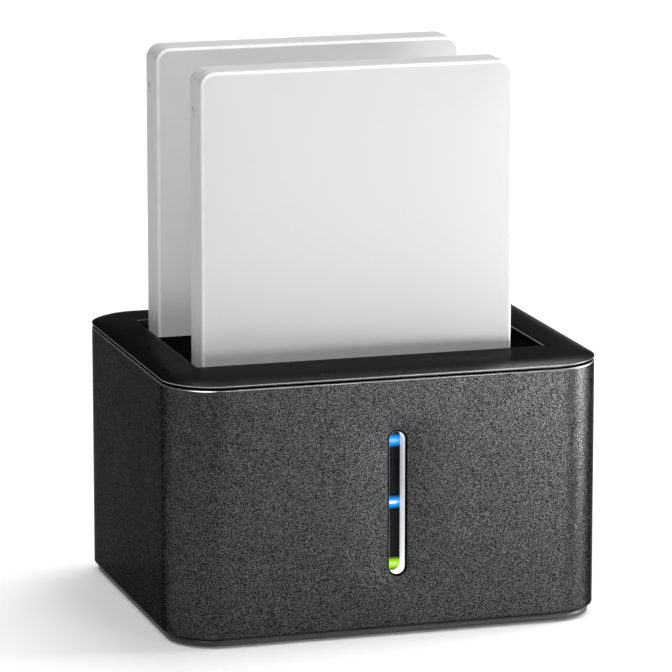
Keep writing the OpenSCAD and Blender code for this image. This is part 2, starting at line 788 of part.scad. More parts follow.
module light_bezel() color(steel) difference() {
    union() {
        facing_front(slot_floor_y, light_depth) light_outline(bezel_t);
        facing_front(slot_floor_y, slot_floor_y - front_in) light_outline(bezel_t + bezel_flange);
    }
    facing_front(slot_floor_y + cut, light_depth + 2 * cut) light_outline(0);
}

module light_window() color(chip_black)
    facing_front(slot_floor_y + window_t, window_t) light_outline(bezel_t + bezel_flange);

module lamp_board() color(board_green) difference() {
    facing_front(lamp_board_back, lamp_board_t) translate([light_x, light_z])
        square([lamp_board_w, lamp_board_h], center = true);
    at_lamp_screws() translate([0, lamp_board_back + cut, 0]) rotate([90, 0, 0])
        cylinder(r = lamp_screw[0] + hole_play, h = lamp_board_t + 2 * cut);
}

module lamp_screws() color(steel)
    at_lamp_screws() translate([0, lamp_board_back, 0]) rotate([90, 0, 0]) screw(lamp_screw, lamp_screw_len);

module lamp(lamp) color(lamp[2])
    facing_front(lamp_board_y, lamp_h) translate([light_x, light_z + lamp[1] * lamp_pitch])
        square(lamp_size, center = true);

// A flat strip that comes down behind the lamp board, bends and runs back over the main board
module lamp_cable() color(cable_white) {
    bend_y = cable_y + cable_bend;
    bend_z = cable_z + cable_bend;
    translate([light_x - cable_w / 2, 0, 0]) rotate([90, 0, 90]) linear_extrude(cable_w) {
        translate([cable_y - cable_t / 2, bend_z]) square([cable_t, cable_top - bend_z]);
        translate([bend_y, cable_z - cable_t / 2]) square([cable_run, cable_t]);
        translate([bend_y, bend_z]) intersection() {
            difference() {
                circle(cable_bend + cable_t / 2);
                circle(cable_bend - cable_t / 2);
            }
            translate([-cable_bend - cable_t, -cable_bend - cable_t]) square(cable_bend + cable_t);
        }
    }
}

module lamp_connector() color(connector_cream)
    translate([light_x - cable_plug[0] / 2, lamp_board_back, cable_top]) cube(cable_plug);

module board_connector() color(connector_cream)
    translate([light_x - cable_plug[0] / 2, cable_end, board_top])
        cube([cable_plug[0], cable_plug[2], cable_plug[1]]);

module at_drive(bay) { at_bay(bay) translate([0, 0, drive_z]) children(); }

// One half of a drive's shell, with its outer face at the given place and rounded edges
module drive_shell(t) {
    translate([0, 0, drive_len / 2]) rotate([90, 0, 0]) difference() {
        pillow(drive_w, drive_len, drive_r, t, drive_edge_r);
        translate([0, 0, -cut]) linear_extrude(t - drive_wall + cut)
            square([drive_w - 2 * drive_wall, drive_len - 2 * drive_wall], center = true);
    }
}

// The opening at a drive's lower edge that the socket's head goes into
module plug_opening() {
    translate([-plug_left, 0, -cut]) linear_extrude(drive_board_z + cut)
        square([plug_w, plug_open_t], center = true);
}

module at_drive_posts() {
    for (x = [-1, 1], z = drive_post_z)
        translate([x * drive_post_x, -drive_board_t / 2, z]) rotate([90, 0, 0]) children();
}

module drive_case(bay) color(drive_silver) at_drive(bay) difference() {
    union() {
        translate([0, seam_y, 0]) drive_shell(drive_case_t);
        at_drive_posts() cylinder(r = drive_post_r, h = drive_t / 2 - drive_board_t / 2 - drive_wall / 2);
    }
    plug_opening();
    at_drive_posts() translate([0, 0, -cut])
        cylinder(r = drive_screw[0] + screw_play, h = drive_screw_len + cut);
}

module at_side_holes() {
    for (x = [-1, 1], z = [side_hole_low, side_hole_high])
        translate([x * drive_w / 2, drive_t / 2 - side_hole_back, z]) rotate([0, -90 * x, 0]) children();
}

module drive_cover(bay) color(drive_silver) at_drive(bay) difference() {
    union() {
        translate([0, seam_y, 0]) rotate(180) drive_shell(drive_t - drive_case_t);
        at_side_holes() translate([-side_boss_w / 2, drive_case_t + side_hole_back - drive_t, drive_wall / 2])
            cube([side_boss_w, drive_t - drive_case_t - drive_wall / 2, side_hole_depth + drive_wall / 2]);
    }
    plug_opening();
    at_side_holes() translate([0, 0, -cut]) cylinder(r = side_hole_r, h = side_hole_depth + cut);
}

module drive_plug(bay) color(chip_black) at_drive(bay) translate([-plug_left, 0, 0]) {
    translate([0, 0, plug_depth]) linear_extrude(plug_body_h) square([plug_w, plug_open_t], center = true);
    translate([0, 0, tongue_end]) linear_extrude(plug_depth - tongue_end + plug_body_h / 2)
        for (tongue = tongues) tongue_outline(tongue, 0);
}

module drive_contacts(bay) color(gold) at_drive(bay)
    translate([-plug_left, -tongue_t / 2 - contact_t, tongue_end])
        contact_row([contact_w, contact_t, contact_len]);

module drive_board(bay) color(board_green) at_drive(bay) difference() {
    translate([-drive_board_w / 2, -drive_board_t / 2, drive_board_z])
        cube([drive_board_w, drive_board_t, drive_board_h]);
    at_drive_posts() translate([0, 0, -drive_board_t - cut])
        cylinder(r = drive_screw[0] + hole_play, h = drive_board_t + 2 * cut);
}

module on_drive_board(x, up, size) {
    translate([x - size[0] / 2, drive_board_t / 2, drive_board_z + up]) cube([size[0], chip_t, size[1]]);
}

module drive_memory(bay) color(chip_black) at_drive(bay)
    for (x = memory_x, up = memory_up) on_drive_board(x, up, memory_size);

module drive_controller(bay) color(chip_black) at_drive(bay)
    on_drive_board(controller_x, controller_up, controller_size);

module drive_screws(bay) color(steel) at_drive(bay)
    at_drive_posts() translate([0, 0, -drive_board_t])
        screw(drive_screw, drive_board_t + drive_screw_len - 2 * screw_play);

body_sleeve();
top_cover();
bay_frame();
bay_collar();
base_plate();
rear_panel();
for (f = FEET) foot(f);
base_screws();
bay_screws();
main_board();
board_screws();
for (bay = [0, 1]) socket(bay);
for (bay = [0, 1]) socket_contacts(bay);
bridge_chip();
flash_chip();
crystal_can();
inductors();
capacitors();
data_port();
data_tongue();
power_inlet();
inlet_pin();
switch_housing();
switch_leads();
power_rocker();
copy_switch();
copy_button();
copy_plunger();
light_bezel();
light_window();
lamp_board();
lamp_screws();
for (l = LAMPS) lamp(l);
lamp_connector();
board_connector();
lamp_cable();
for (bay = [0, 1]) drive_case(bay);
for (bay = [0, 1]) drive_cover(bay);
for (bay = [0, 1]) drive_board(bay);
for (bay = [0, 1]) drive_plug(bay);
for (bay = [0, 1]) drive_contacts(bay);
for (bay = [0, 1]) drive_memory(bay);
for (bay = [0, 1]) drive_controller(bay);
for (bay = [0, 1]) drive_screws(bay);
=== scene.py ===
"""Looks of a two-bay drive docking station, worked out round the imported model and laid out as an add-on."""

import json
import math

import bmesh
import bpy
import numpy as np
from bpy.props import FloatProperty, FloatVectorProperty, PointerProperty
from bpy.types import Operator, Panel, PropertyGroup
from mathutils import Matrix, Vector


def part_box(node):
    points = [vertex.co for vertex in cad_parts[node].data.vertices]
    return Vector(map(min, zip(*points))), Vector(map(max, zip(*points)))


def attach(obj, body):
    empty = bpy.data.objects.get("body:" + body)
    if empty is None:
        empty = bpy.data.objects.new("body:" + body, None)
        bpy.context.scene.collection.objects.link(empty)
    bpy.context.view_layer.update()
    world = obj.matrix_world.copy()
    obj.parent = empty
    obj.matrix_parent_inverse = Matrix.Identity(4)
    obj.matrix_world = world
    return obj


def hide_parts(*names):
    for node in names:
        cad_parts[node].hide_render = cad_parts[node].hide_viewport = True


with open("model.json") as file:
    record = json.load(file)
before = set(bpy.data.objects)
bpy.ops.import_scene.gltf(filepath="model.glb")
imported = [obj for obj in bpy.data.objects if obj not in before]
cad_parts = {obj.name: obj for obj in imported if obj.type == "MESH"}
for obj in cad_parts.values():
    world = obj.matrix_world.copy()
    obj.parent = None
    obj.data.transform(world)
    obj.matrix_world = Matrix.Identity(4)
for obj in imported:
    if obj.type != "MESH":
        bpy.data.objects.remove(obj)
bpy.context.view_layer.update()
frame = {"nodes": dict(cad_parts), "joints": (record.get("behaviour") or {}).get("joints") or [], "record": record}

bl_info = {
    "name": "Drive Docking Station",
    "version": (1, 0, 0),
    "blender": (4, 5, 0),
    "location": "View3D > Sidebar > Dock",
    "description": "Makes the shells, lights, ports and finishes of a two-bay drive docking station",
    "category": "Add Mesh",
}

MM = 0.001
WELD = 1e-7
THREE_OF_FOUR = np.array([[1, 2, 3], [0, 2, 3], [0, 1, 3], [0, 1, 2]])
CROWN_POWER = 3.2
# The lamps shine down a little through the window, so their spots lie wider apart than the lamps
GLOW_SPREAD = 1.045
IMAGE_WIDTH = 672
SENSOR = 36.0
# Middle height of the moulded grain, to which the grain is flattened on the marked edges that carry the painted
# highlight
GRAIN_MIDDLE = 0.8
# Faces that meet at more than this angle, in degrees, keep a sharp edge
SHARP_ANGLE = 32.0
# How far from the dock the floor starts to be lifted to white, where it ends, and the lift at each
FLOOR_LIFT = (0.6, 2.0, 0.14, 0.9)
# Painted highlight on a drive's face bevel: its mark where the outline faces straight up, and the least that every
# column has of it
BEVEL_HIGHLIGHT, BEVEL_HIGHLIGHT_LEAST = 1.0, 0.4
# The slot's materials, made by the finishes
FINISHES = {}


def length(name, description, millimetres):
    """A length property, written here in millimetres and kept in metres."""
    return FloatProperty(
        name=name, description=description, default=millimetres * MM, unit="LENGTH", precision=5
    )


def tint(name, description, default):
    """A colour property."""
    return FloatVectorProperty(
        name=name, description=description, default=default, size=3, min=0.0, max=1.0, subtype="COLOR"
    )


def number(name, description, default):
    """A plain number property."""
    return FloatProperty(name=name, description=description, default=default, precision=4)


class DockShapeSettings(PropertyGroup):
    """Sizes of the rounded shells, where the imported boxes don't give them."""

    corner_radius: length("Corner radius", "Upright corners of the body", 11.5)
    sleeve_wall: length("Sleeve wall", "Wall of the body sleeve", 2.2)
    sleeve_edge: length("Sleeve edge", "Rounding of the sleeve's top and bottom edges", 0.4)
    groove_height: length("Groove height", "Dark line between sleeve and cover", 0.65)
    groove_depth: length("Groove depth", "How far the dark line goes in", 1.4)
    cover_edge: length("Cover edge", "Upright edge of the top cover", 0.3)
    cover_fillet: length("Cover fillet", "Rounding under the cover's edge", 0.1)
    crown_run: length("Crown run", "How far in the cover's crown rises", 8.0)
    inner_roll: length("Inner roll", "How far the cover drops again towards the well", 0.16)
    well_edge: length("Well edge", "Rounding of the well's upper edge", 0.3)
    well_corner: length("Well corner", "Upright corners of the well", 0.35)
    well_wall: length("Well wall", "Wall of the well", 2.0)
    collar_depth: length("Collar depth", "From the crest of the rim down to the collar round the drives", 1.6)
    collar_thick: length("Collar thickness", "Thickness of the collar round the drives", 1.2)
    collar_gap: length("Collar gap", "From a drive to its slot in the collar", 0.3)
    collar_edge: length("Collar edge", "Rounding of a slot's upper edge", 0.35)
    well_left: length("Gap left of the drives", "From the drives to the well's left wall", 1.8)
    well_right: length("Gap right of the drives", "From the drives to the well's right wall", 6.5)
    well_end: length("Gap at the drives' faces", "From the drives to the well's front and back walls", 2.75)
    ring_inset: length("Locating ring inset", "From the body's side to the cover's locating ring", 2.4)
    ring_wall: length("Locating ring wall", "Wall of the cover's locating ring", 1.6)
    ring_height: length("Locating ring height", "How far the locating ring goes down", 2.7)
    post_radius: length("Post radius", "Cover posts that the base screws go into", 2.7)
    lip_inset: length("Lip inset", "How far the base lip stands back", 0.92)
    slot_width: length("Light slot width", "Inside width of the light slot", 3.4)
    slot_height: length("Light slot height", "Inside height of the light slot", 31.2)
    bezel_wall: length("Bezel wall", "Wall of the slot's bezel", 0.45)
    drive_corner: length("Drive corner", "Corners of a drive's outline", 3.2)
    drive_edge: length("Drive edge", "Rounding of a drive's edges", 0.75)
    drive_wall: length("Drive wall", "Wall of a drive's shells", 1.4)
    drive_seam: length("Drive seam", "Fine bevel where a drive's shells meet", 0.16)
    side_hole: length("Side hole radius", "Screw holes in a drive's sides", 1.25)


class DockFinishSettings(PropertyGroup):
    """Colours of the finishes."""

    sleeve: tint("Sleeve", "Moulded black of the body sleeve", (0.003, 0.003, 0.0033))
    sleeve_light: tint("Sleeve grain", "Lighter peaks of the sleeve's grain", (0.13, 0.13, 0.132))
    cover: tint("Cover", "Satin black of the cover", (0.05, 0.05, 0.051))
    # Painted highlight: the colour of the bright lines painted on the marked edges of sleeve and cover
    edge: tint("Bright edge", "Polished edges of sleeve and cover", (0.86, 0.86, 0.87))
    base: tint("Base", "Black of the base and its lip", (0.028, 0.028, 0.03))
    # Painted shade: near black, with no reflection in its finish, stands in for the shade inside the well on the
    # collar plate
    bay: tint("Bay", "Black inside the well", (0.002, 0.002, 0.0022))
    drive: tint("Drive", "Silver of the drives", (0.535, 0.535, 0.54))
    # Painted highlight: the colour painted on a drive's face bevel, strongest on its upper edge
    drive_bevel_highlight: tint("Drive bevel", "Polished bevel round a drive's face", (0.93, 0.93, 0.93))
    bezel: tint("Bezel", "Pale walls of the light slot", (0.9, 0.905, 0.91))
    window: tint("Window", "Smoked window of the light slot", (0.003, 0.003, 0.004))
    blue_lamp: tint("Blue lamp", "Upper and middle lamp", (0.004, 0.34, 1.0))
    green_lamp: tint("Green lamp", "Lower lamp", (0.36, 0.74, 0.004))


class DockStageSettings(PropertyGroup):
    """Camera, floor and light."""

    azimuth: number("Azimuth", "Camera's turn round the dock in degrees", -16.762)
    elevation: number("Elevation", "Camera's height over the horizon in degrees", 11.819)
    distance: length("Distance", "From the camera to what it looks at", 1024.0)
    focal_pixels: number("Focal length", "Camera's focal length in image widths of 672", 4640.169)
    look_x: length("Look at, sideways", "Sideways place that the camera looks at", -0.681)
    look_z: length("Look at, height", "Height that the camera looks at", 57.915)
    floor: tint("Floor", "Pale floor", (0.9, 0.9, 0.9))
    world: tint("Surroundings", "Even light from all round", (0.1, 0.1, 0.102))


def node_box(*names):
    """Lowest and highest corner round the named CAD nodes, as arrays in metres."""
    corners = np.array([[tuple(corner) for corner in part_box(name)] for name in names])
    return corners[:, 0].min(axis=0), corners[:, 1].max(axis=0)


class Outline:
    """Samples round a rounded rectangle, anticlockwise from its right side.

    A sample at share (u, v) with outward direction (a, b) lies at x = u * half width + a * radius and
    y = v * half depth + b * radius, where the half sides end at the corners' centres.
    """

    def __init__(self, arc_steps, runs):
        turn = np.linspace(0.0, 0.5 * math.pi, arc_steps + 1)
        share, way, self.sides = [], [], []
        count = 0
        for quarter, run in enumerate(runs):
            c, s = ((1, 0), (0, 1), (-1, 0), (0, -1))[quarter]
            share.append(np.array([c, s]) + np.outer(run, [-s, c]))
            way.append(np.tile([float(c), float(s)], (len(run), 1)))
            share.append(np.tile([float(c - s), float(s + c)], (len(turn), 1)))
            angle = turn + quarter * 0.5 * math.pi
            way.append(np.column_stack([np.cos(angle), np.sin(angle)]))
            self.sides.append(np.arange(count - 1, count + len(run) + 1))
            count += len(run) + len(turn)
        self.share, self.way, self.count = np.concatenate(share), np.concatenate(way), count

    def side(self, quarter):
        """Columns of one straight side with both its ends; sides count anticlockwise from the right."""
        return self.sides[quarter] % self.count

    def carry(self, rows):
        """Carries a profile round the outline; a row is half width, half depth, shift, radius, height."""
        half_w, half_d, shift, radius, height = np.asarray(rows, float).T[..., None]
        x = half_w * self.share[:, 0] + radius * self.way[:, 0]
        y = half_d * self.share[:, 1] + radius * self.way[:, 1] + shift
        return np.stack([x, y, height + 0.0 * x], axis=-1)


def even_run(steps):
    """Shares of the inner samples on a straight side cut into even steps."""
    return np.linspace(-1.0, 1.0, steps + 1)[1:-1]


def even_outline(arc_steps, side_steps):
    """An outline with even steps on its four sides."""
    return Outline(arc_steps, [even_run(side_steps)] * 4)


def fillet(out, height, radius, start, end, steps):
    """Arc round a centre between two angles in degrees: out + r cos a, height + r sin a."""
    angle = np.radians(np.linspace(start, end, steps + 1))
    return np.column_stack([out + radius * np.cos(angle), height + radius * np.sin(angle)])


def ring(half, profile, shift=0.0):
    """Rows of a profile of (radius, height) pairs with the same half sides."""
    profile = np.atleast_2d(np.asarray(profile, float))
    return np.column_stack([np.tile([half[0], half[1], shift], (len(profile), 1)), profile])


def grid(points, wrap_rows=False, wrap_columns=True, skip=None, mark=0.0):
    """Points, faces and edge marks of a grid of points; skip leaves out single cells."""
    rows, columns = points.shape[:2]
    i, j = np.meshgrid(
        np.arange(rows if wrap_rows else rows - 1),
        np.arange(columns if wrap_columns else columns - 1),
        indexing="ij",
    )
    below, right = (i + 1) % rows, (j + 1) % columns
    cells = np.stack([i * columns + j, i * columns + right, below * columns + right, below * columns + j], -1)
    if skip is not None:
        cells = cells[~skip[: cells.shape[0], : cells.shape[1]]]
    marks = np.broadcast_to(np.asarray(mark, float), (rows, columns)).reshape(-1)
    return points.reshape(-1, 3), cells.reshape(-1, 4), marks


def lathe(profile, centre, steps=48):
    """A profile of (radius, height) pairs turned round an upright axis."""
    angle = np.linspace(0.0, 2.0 * math.pi, steps, endpoint=False)
    radius, height = np.asarray(profile, float).T[..., None]
    points = np.stack([radius * np.cos(angle), radius * np.sin(angle), height + 0.0 * angle], axis=-1)
    return points + np.asarray(centre, float)


def facing_front(points):
    """Lays an upright shape down so that its height points to the front: (x, y, z) goes to (x, -z, y)."""
    return np.stack([points[..., 0], -points[..., 2], points[..., 1]], axis=-1)


def facing_back(points):
    """Lays an upright shape down so that its height points to the back: (x, y, z) goes to (-x, z, y)."""
    return np.stack([-points[..., 0], points[..., 2], points[..., 1]], axis=-1)


def border(points, rows, columns):
    """Closed loop of points round a block of cells."""
    return np.concatenate([
        points[rows[0], columns[:-1]],
        points[rows[:-1], columns[-1]],
        points[rows[-1], columns[:0:-1]],
        points[rows[:0:-1], columns[0]],
    ])


def hole_loop(loop, plane, centre, core):
    """The loop's nearest points on a box of half sides core, and the directions from there to the loop."""
    offset = loop[:, plane] - centre
    held = np.clip(offset, -np.asarray(core), core)
    way = offset - held
    return held + centre, way / np.linalg.norm(way, axis=1, keepdims=True)


def hole_rows(loop, plane, across, held, way, radii, depths):
    """Loops of a hole: the box's nearest points pushed out by each radius, at a depth across the wall."""
    made = np.repeat(loop[None], len(radii), axis=0)
    made[:, :, plane] = held + np.asarray(radii)[:, None, None] * way
    made[:, :, across] += np.asarray(depths)[:, None]
    return made


def between(start, end, steps):
    """Loops between two loops in even steps, without the first one."""
    share = np.linspace(0.0, 1.0, steps + 1)[1:, None, None]
    return start + share * (end - start)


def opening(outer, inner, centre, core, radius, edge):
    """A hole through an upright wall: from the outer border over a rounded edge to the inner border."""
    plane = [0, 2]
    held, way = hole_loop(outer, plane, np.asarray(centre), core)
    depth = inner[0, 1] - outer[0, 1]
    round_off = fillet(edge, edge, edge, 270.0, 180.0, 5)
    radii = np.concatenate([radius + round_off[:, 0], [radius]])
    depths = np.concatenate([np.sign(depth) * round_off[:, 1], [depth]])
    wall = hole_rows(outer, plane, 1, held, way, radii, depths)
    return np.concatenate([outer[None], between(outer, wall[0], 3), wall[1:], between(wall[-1], inner, 3)])


def make_piece(name, grids, body, slot, nodes):
    """One mesh from grids: points that meet share a vertex; faces that close up become triangles or go."""
    points = np.concatenate([part[0] for part in grids])
    starts = np.cumsum([0] + [len(part[0]) for part in grids[:-1]])
    faces = np.concatenate([part[1] + start for part, start in zip(grids, starts)])
    marks = np.concatenate([part[2] for part in grids])
    cells = np.round(points / WELD).astype(np.int64)
    _, first, group = np.unique(cells, axis=0, return_index=True, return_inverse=True)
    faces = group.reshape(-1)[faces]
    shut = faces == np.roll(faces, -1, axis=1)
    crossed = (faces[:, 0] == faces[:, 2]) | (faces[:, 1] == faces[:, 3])
    quads = faces[~shut.any(axis=1) & ~crossed]
    folded = (shut.sum(axis=1) == 1) & ~crossed
    triangles = np.take_along_axis(faces[folded], THREE_OF_FOUR[shut[folded].argmax(axis=1)], axis=1)
    mesh = bpy.data.meshes.new(name)
    mesh.from_pydata(points[first].tolist(), [], quads.tolist() + triangles.tolist())
    mesh.attributes.new("edge", "FLOAT", "POINT").data.foreach_set("value", marks[first])
    skin = bmesh.new()
    skin.from_mesh(mesh)
    loose = [vert for vert in skin.verts if not vert.link_faces]
    bmesh.ops.delete(skin, geom=loose, context="VERTS")
    bmesh.ops.recalc_face_normals(skin, faces=skin.faces)
    skin.to_mesh(mesh)
    skin.free()
    mesh.polygons.foreach_set("use_smooth", np.ones(len(mesh.polygons), bool))
    mesh.set_sharp_from_angle(angle=math.radians(SHARP_ANGLE))
    mesh.materials.append(FINISHES[slot])
    piece = bpy.data.objects.new(name, mesh)
    bpy.context.scene.collection.objects.link(piece)
    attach(piece, body)
    if nodes:
        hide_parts(*nodes)


def put(tree, kind, inputs=None, **settings):
    """Adds a shader node; inputs maps its sockets to values or to other nodes' outputs."""
    made = tree.nodes.new("ShaderNode" + kind)
    for name, value in settings.items():
        setattr(made, name, value)
    for name, value in (inputs or {}).items():
        if isinstance(value, bpy.types.NodeSocket):
            tree.links.new(value, made.inputs[name])
        else:
            made.inputs[name].default_value = value
    return made


def maths(tree, operation, a, b=0.0):
    """Output of a Math node."""
    return put(tree, "Math", {0: a, 1: b}, operation=operation).outputs[0]


def vector_maths(tree, operation, a, b):
    """Vector output of a Vector Math node."""
    return put(tree, "VectorMath", {0: a, 1: b}, operation=operation).outputs[0]


def span(tree, value, low, high, to_low=0.0, to_high=1.0):
    """Output of a smooth Map Range node."""
    inputs = {"Value": value, "From Min": low, "From Max": high, "To Min": to_low, "To Max": to_high}
    return put(tree, "MapRange", inputs, interpolation_type="SMOOTHSTEP").outputs["Result"]


def blend(tree, share, a, b):
    """Output of a colour Mix node."""
    return put(tree, "Mix", {0: share, 6: opaque(a), 7: opaque(b)}, data_type="RGBA").outputs[2]


def opaque(value):
    """A colour with its alpha, or a socket as it is."""
    if isinstance(value, bpy.types.NodeSocket):
        return value
    return (*tuple(value)[:3], 1.0)


def scaled(value, share):
    """A colour made darker or lighter."""
    return tuple(min(1.0, part * share) for part in tuple(value)[:3])


def effect(name, inputs, outputs):
    """A new shader node group with its named sockets, and its inner input and output sockets."""
    tree = bpy.data.node_groups.new(name, "ShaderNodeTree")
    for label, kind, value in inputs:
        socket = tree.interface.new_socket(name=label, in_out="INPUT", socket_type="NodeSocket" + kind)
        if value is not None:
            socket.default_value = value
    for label in outputs:
        tree.interface.new_socket(name=label, in_out="OUTPUT", socket_type="NodeSocketFloat")
    return tree, tree.nodes.new("NodeGroupInput").outputs, tree.nodes.new("NodeGroupOutput").inputs


def shared(name, inputs, outputs):
    """Makes a function that fills a node group into one that gives the group, made once."""

    def wrap(fill):
        def group():
            if name not in bpy.data.node_groups:
                fill(*effect(name, inputs, outputs))
            return bpy.data.node_groups[name]

        return group

    return wrap


@shared("Moulded grain", [("Vector", "Vector", None), ("Size", "Float", 0.0003)], ["Height", "Tone"])
def moulded_grain(tree, given, made):
    """Fine grain of moulded plastic: rounded cells with noise on top, and a tone drawn for each cell."""
    scale = maths(tree, "DIVIDE", 1.0, given["Size"])
    cells = put(tree, "TexVoronoi", {"Vector": given["Vector"], "Scale": scale}).outputs
    peak = put(tree, "SeparateColor", {0: cells["Color"]}).outputs[0]
    round_off = span(tree, cells["Distance"], 0.7, 0.1)
    finer = maths(tree, "MULTIPLY", scale, 1.3)
    noise = put(tree, "TexNoise", {"Vector": given["Vector"], "Scale": finer, "Detail": 1.0}).outputs[0]
    height = maths(tree, "ADD", round_off, maths(tree, "MULTIPLY", noise, 0.6))
    tree.links.new(height, made["Height"])
    tree.links.new(maths(tree, "POWER", peak, 2.5), made["Tone"])


@shared("Slow drift", [("Vector", "Vector", None), ("Size", "Float", 0.02)], ["Drift"])
def slow_drift(tree, given, made):
    """Broad uneven patches, as of handling and of the mould's polish."""
    scale = maths(tree, "DIVIDE", 1.0, given["Size"])
    noise = put(tree, "TexNoise", {"Vector": given["Vector"], "Scale": scale, "Detail": 3.0}).outputs[0]
    tree.links.new(span(tree, noise, 0.3, 0.7), made["Drift"])


# The edge mark carries painted highlights, and on the drives also a dark seam
@shared("Edge highlight and seam", [("Vector", "Vector", None), ("Mark", "Float", 0.0), ("Size", "Float", 0.004)], ["Mask"])
def edge_highlight_and_seam(tree, given, made):
    """Mask of a painted edge highlight, and of a drive's dark seam: the mesh's own mark broken up by fine noise.
    """
    scale = maths(tree, "DIVIDE", 1.0, given["Size"])
    noise = put(tree, "TexNoise", {"Vector": given["Vector"], "Scale": scale, "Detail": 2.0}).outputs[0]
    broken = span(tree, noise, 0.2, 0.6, 0.7, 1.0)
    tree.links.new(maths(tree, "MULTIPLY", given["Mark"], broken), made["Mask"])


@shared("Drawn streaks", [
    ("Vector", "Vector", None), ("Stretch", "Vector", (4000.0, 4000.0, 200.0))
], ["Streak"])
def drawn_streaks(tree, given, made):
    """Fine streaks of drawn or turned metal: noise stretched along one way."""
    stretched = vector_maths(tree, "MULTIPLY", given["Vector"], given["Stretch"])
    noise = put(tree, "TexNoise", {"Vector": stretched, "Scale": 1.0, "Detail": 2.0}).outputs[0]
    tree.links.new(span(tree, noise, 0.3, 0.7), made["Streak"])


@shared("Lamp glow", [
    ("Vector", "Vector", None), ("Centre", "Vector", (0.0, 0.0, 0.0)), ("Stretch", "Vector", (1.0, 1.0, 1.0))
], ["Core", "Halo"])
def lamp_glow(tree, given, made):
    """Glow of a lamp behind a window: a flat core and a wide halo round a centre, by stretched distance."""
    offset = vector_maths(tree, "SUBTRACT", given["Vector"], given["Centre"])
    offset = vector_maths(tree, "MULTIPLY", offset, given["Stretch"])
    distance = put(tree, "VectorMath", {0: offset}, operation="LENGTH").outputs["Value"]
    tree.links.new(span(tree, distance, 0.75, 0.3), made["Core"])
    tree.links.new(span(tree, distance, 2.4, 0.6), made["Halo"])


@shared("Board print", [("Vector", "Vector", None), ("Pitch", "Float", 0.0012)], ["Run", "Pad"])
def board_print(tree, given, made):
    """Copper under a board's varnish: straight runs on a pitch, broken into lengths, and round pads."""
    scale = maths(tree, "DIVIDE", 1.0, given["Pitch"])
    square = put(
        tree, "TexVoronoi", {"Vector": given["Vector"], "Scale": maths(tree, "MULTIPLY", scale, 0.3)},
        distance="CHEBYCHEV",
    ).outputs["Distance"]
    run = maths(tree, "PINGPONG", maths(tree, "MULTIPLY", square, 6.0), 0.5)
    pads = put(tree, "TexVoronoi", {"Vector": given["Vector"], "Scale": maths(tree, "MULTIPLY", scale, 0.45)})
    tree.links.new(span(tree, run, 0.3, 0.4), made["Run"])
    tree.links.new(span(tree, pads.outputs["Distance"], 0.16, 0.13), made["Pad"])


def grain_at(tree, where, size):
    """Outputs of the moulded grain."""
    return put(tree, "Group", {"Vector": where, "Size": size}, node_tree=moulded_grain()).outputs


def drift_at(tree, where, size):
    """Output of the slow drift."""
    return put(tree, "Group", {"Vector": where, "Size": size}, node_tree=slow_drift()).outputs["Drift"]


def streak_at(tree, where, stretch):
    """Output of the drawn streaks."""
    inputs = {"Vector": where, "Stretch": stretch}
    return put(tree, "Group", inputs, node_tree=drawn_streaks()).outputs["Streak"]


def start_finish(name):
    """A new material with its Principled shader and the object's own coordinates."""
    material = bpy.data.materials.new(name)
    material.use_nodes = True
    tree = material.node_tree
    tree.nodes.clear()
    shader = put(tree, "BsdfPrincipled")
    tree.links.new(shader.outputs[0], put(tree, "OutputMaterial").inputs["Surface"])
    return material, tree, shader, put(tree, "TexCoord").outputs["Object"]


def feed(tree, shader, **sockets):
    """Sets or links the shader's sockets; a word's underscores stand for spaces."""
    for name, value in sockets.items():
        socket = shader.inputs[name.replace("_", " ")]
        if isinstance(value, bpy.types.NodeSocket):
            tree.links.new(value, socket)
        else:
            socket.default_value = value


def relief(tree, height, distance, strength=1.0):
    """Normal of a Bump node; distance in metres."""
    return put(tree, "Bump", {"Height": height, "Distance": distance, "Strength": strength}).outputs["Normal"]


def edge_mask(tree, where, size=4 * MM):
    """The mesh's edge mark with its painted highlights and dark seams, broken up by noise."""
    mark = put(tree, "Attribute", attribute_name="edge").outputs["Fac"]
    inputs = {"Vector": where, "Mark": mark, "Size": size}
    return put(tree, "Group", inputs, node_tree=edge_highlight_and_seam()).outputs["Mask"]


def coated_black(name, dark, light, edge, sideways, rough, grain_size, depth):
    """Black with a dull metallic coat: lighter peaks in its grain, slow changes of polish, and a painted highlight
    on the marked edges.

    Sideways is how much of a bare metal's shine at a slant the coat keeps.
    """
    material, tree, shader, where = start_finish(name)
    grain = grain_at(tree, where, grain_size)
    drift = drift_at(tree, where, 18 * MM)
    highlight_and_seam = edge_mask(tree, where)
    body = blend(tree, grain["Tone"], dark, light)
    smooth = maths(tree, "SUBTRACT", 1.0, highlight_and_seam)
    height = maths(tree, "MULTIPLY", maths(tree, "SUBTRACT", grain["Height"], GRAIN_MIDDLE), smooth)
    feed(
        tree, shader,
        # Painted highlight: the marked edges take the bright edge colour, as full metal
        Base_Color=blend(tree, highlight_and_seam, body, edge),
        Roughness=maths(tree, "ADD", rough, maths(tree, "MULTIPLY", drift, 0.05)),
        Normal=relief(tree, height, depth),
        Metallic=1.0,
        Specular_Tint=(sideways, sideways, sideways, 1.0),
    )
    return material


def satin_black(name, base, edge, rough, grain_size, depth, specular=0.3):
    """Smooth satin black: slow changes of polish, a faint grain, and a painted highlight where the mesh marks an
    edge.
    """
    material, tree, shader, where = start_finish(name)
    grain = grain_at(tree, where, grain_size)
    drift = drift_at(tree, where, 12 * MM)
    highlight_and_seam = edge_mask(tree, where)
    body = blend(tree, drift, base, scaled(base, 1.35))
    dull = maths(tree, "ADD", rough, maths(tree, "MULTIPLY", drift, 0.09))
    polish = maths(tree, "SUBTRACT", 1.0, maths(tree, "MULTIPLY", highlight_and_seam, 0.6))
    feed(
        tree, shader,
        # Painted highlight where the mesh marks an edge, such as the band along the base lip
        Base_Color=blend(tree, highlight_and_seam, body, edge),
        Roughness=maths(tree, "MULTIPLY", dull, polish),
        Metallic=highlight_and_seam,
        Normal=relief(tree, grain["Height"], depth, 0.5),
        Specular_IOR_Level=specular,
    )
    return material


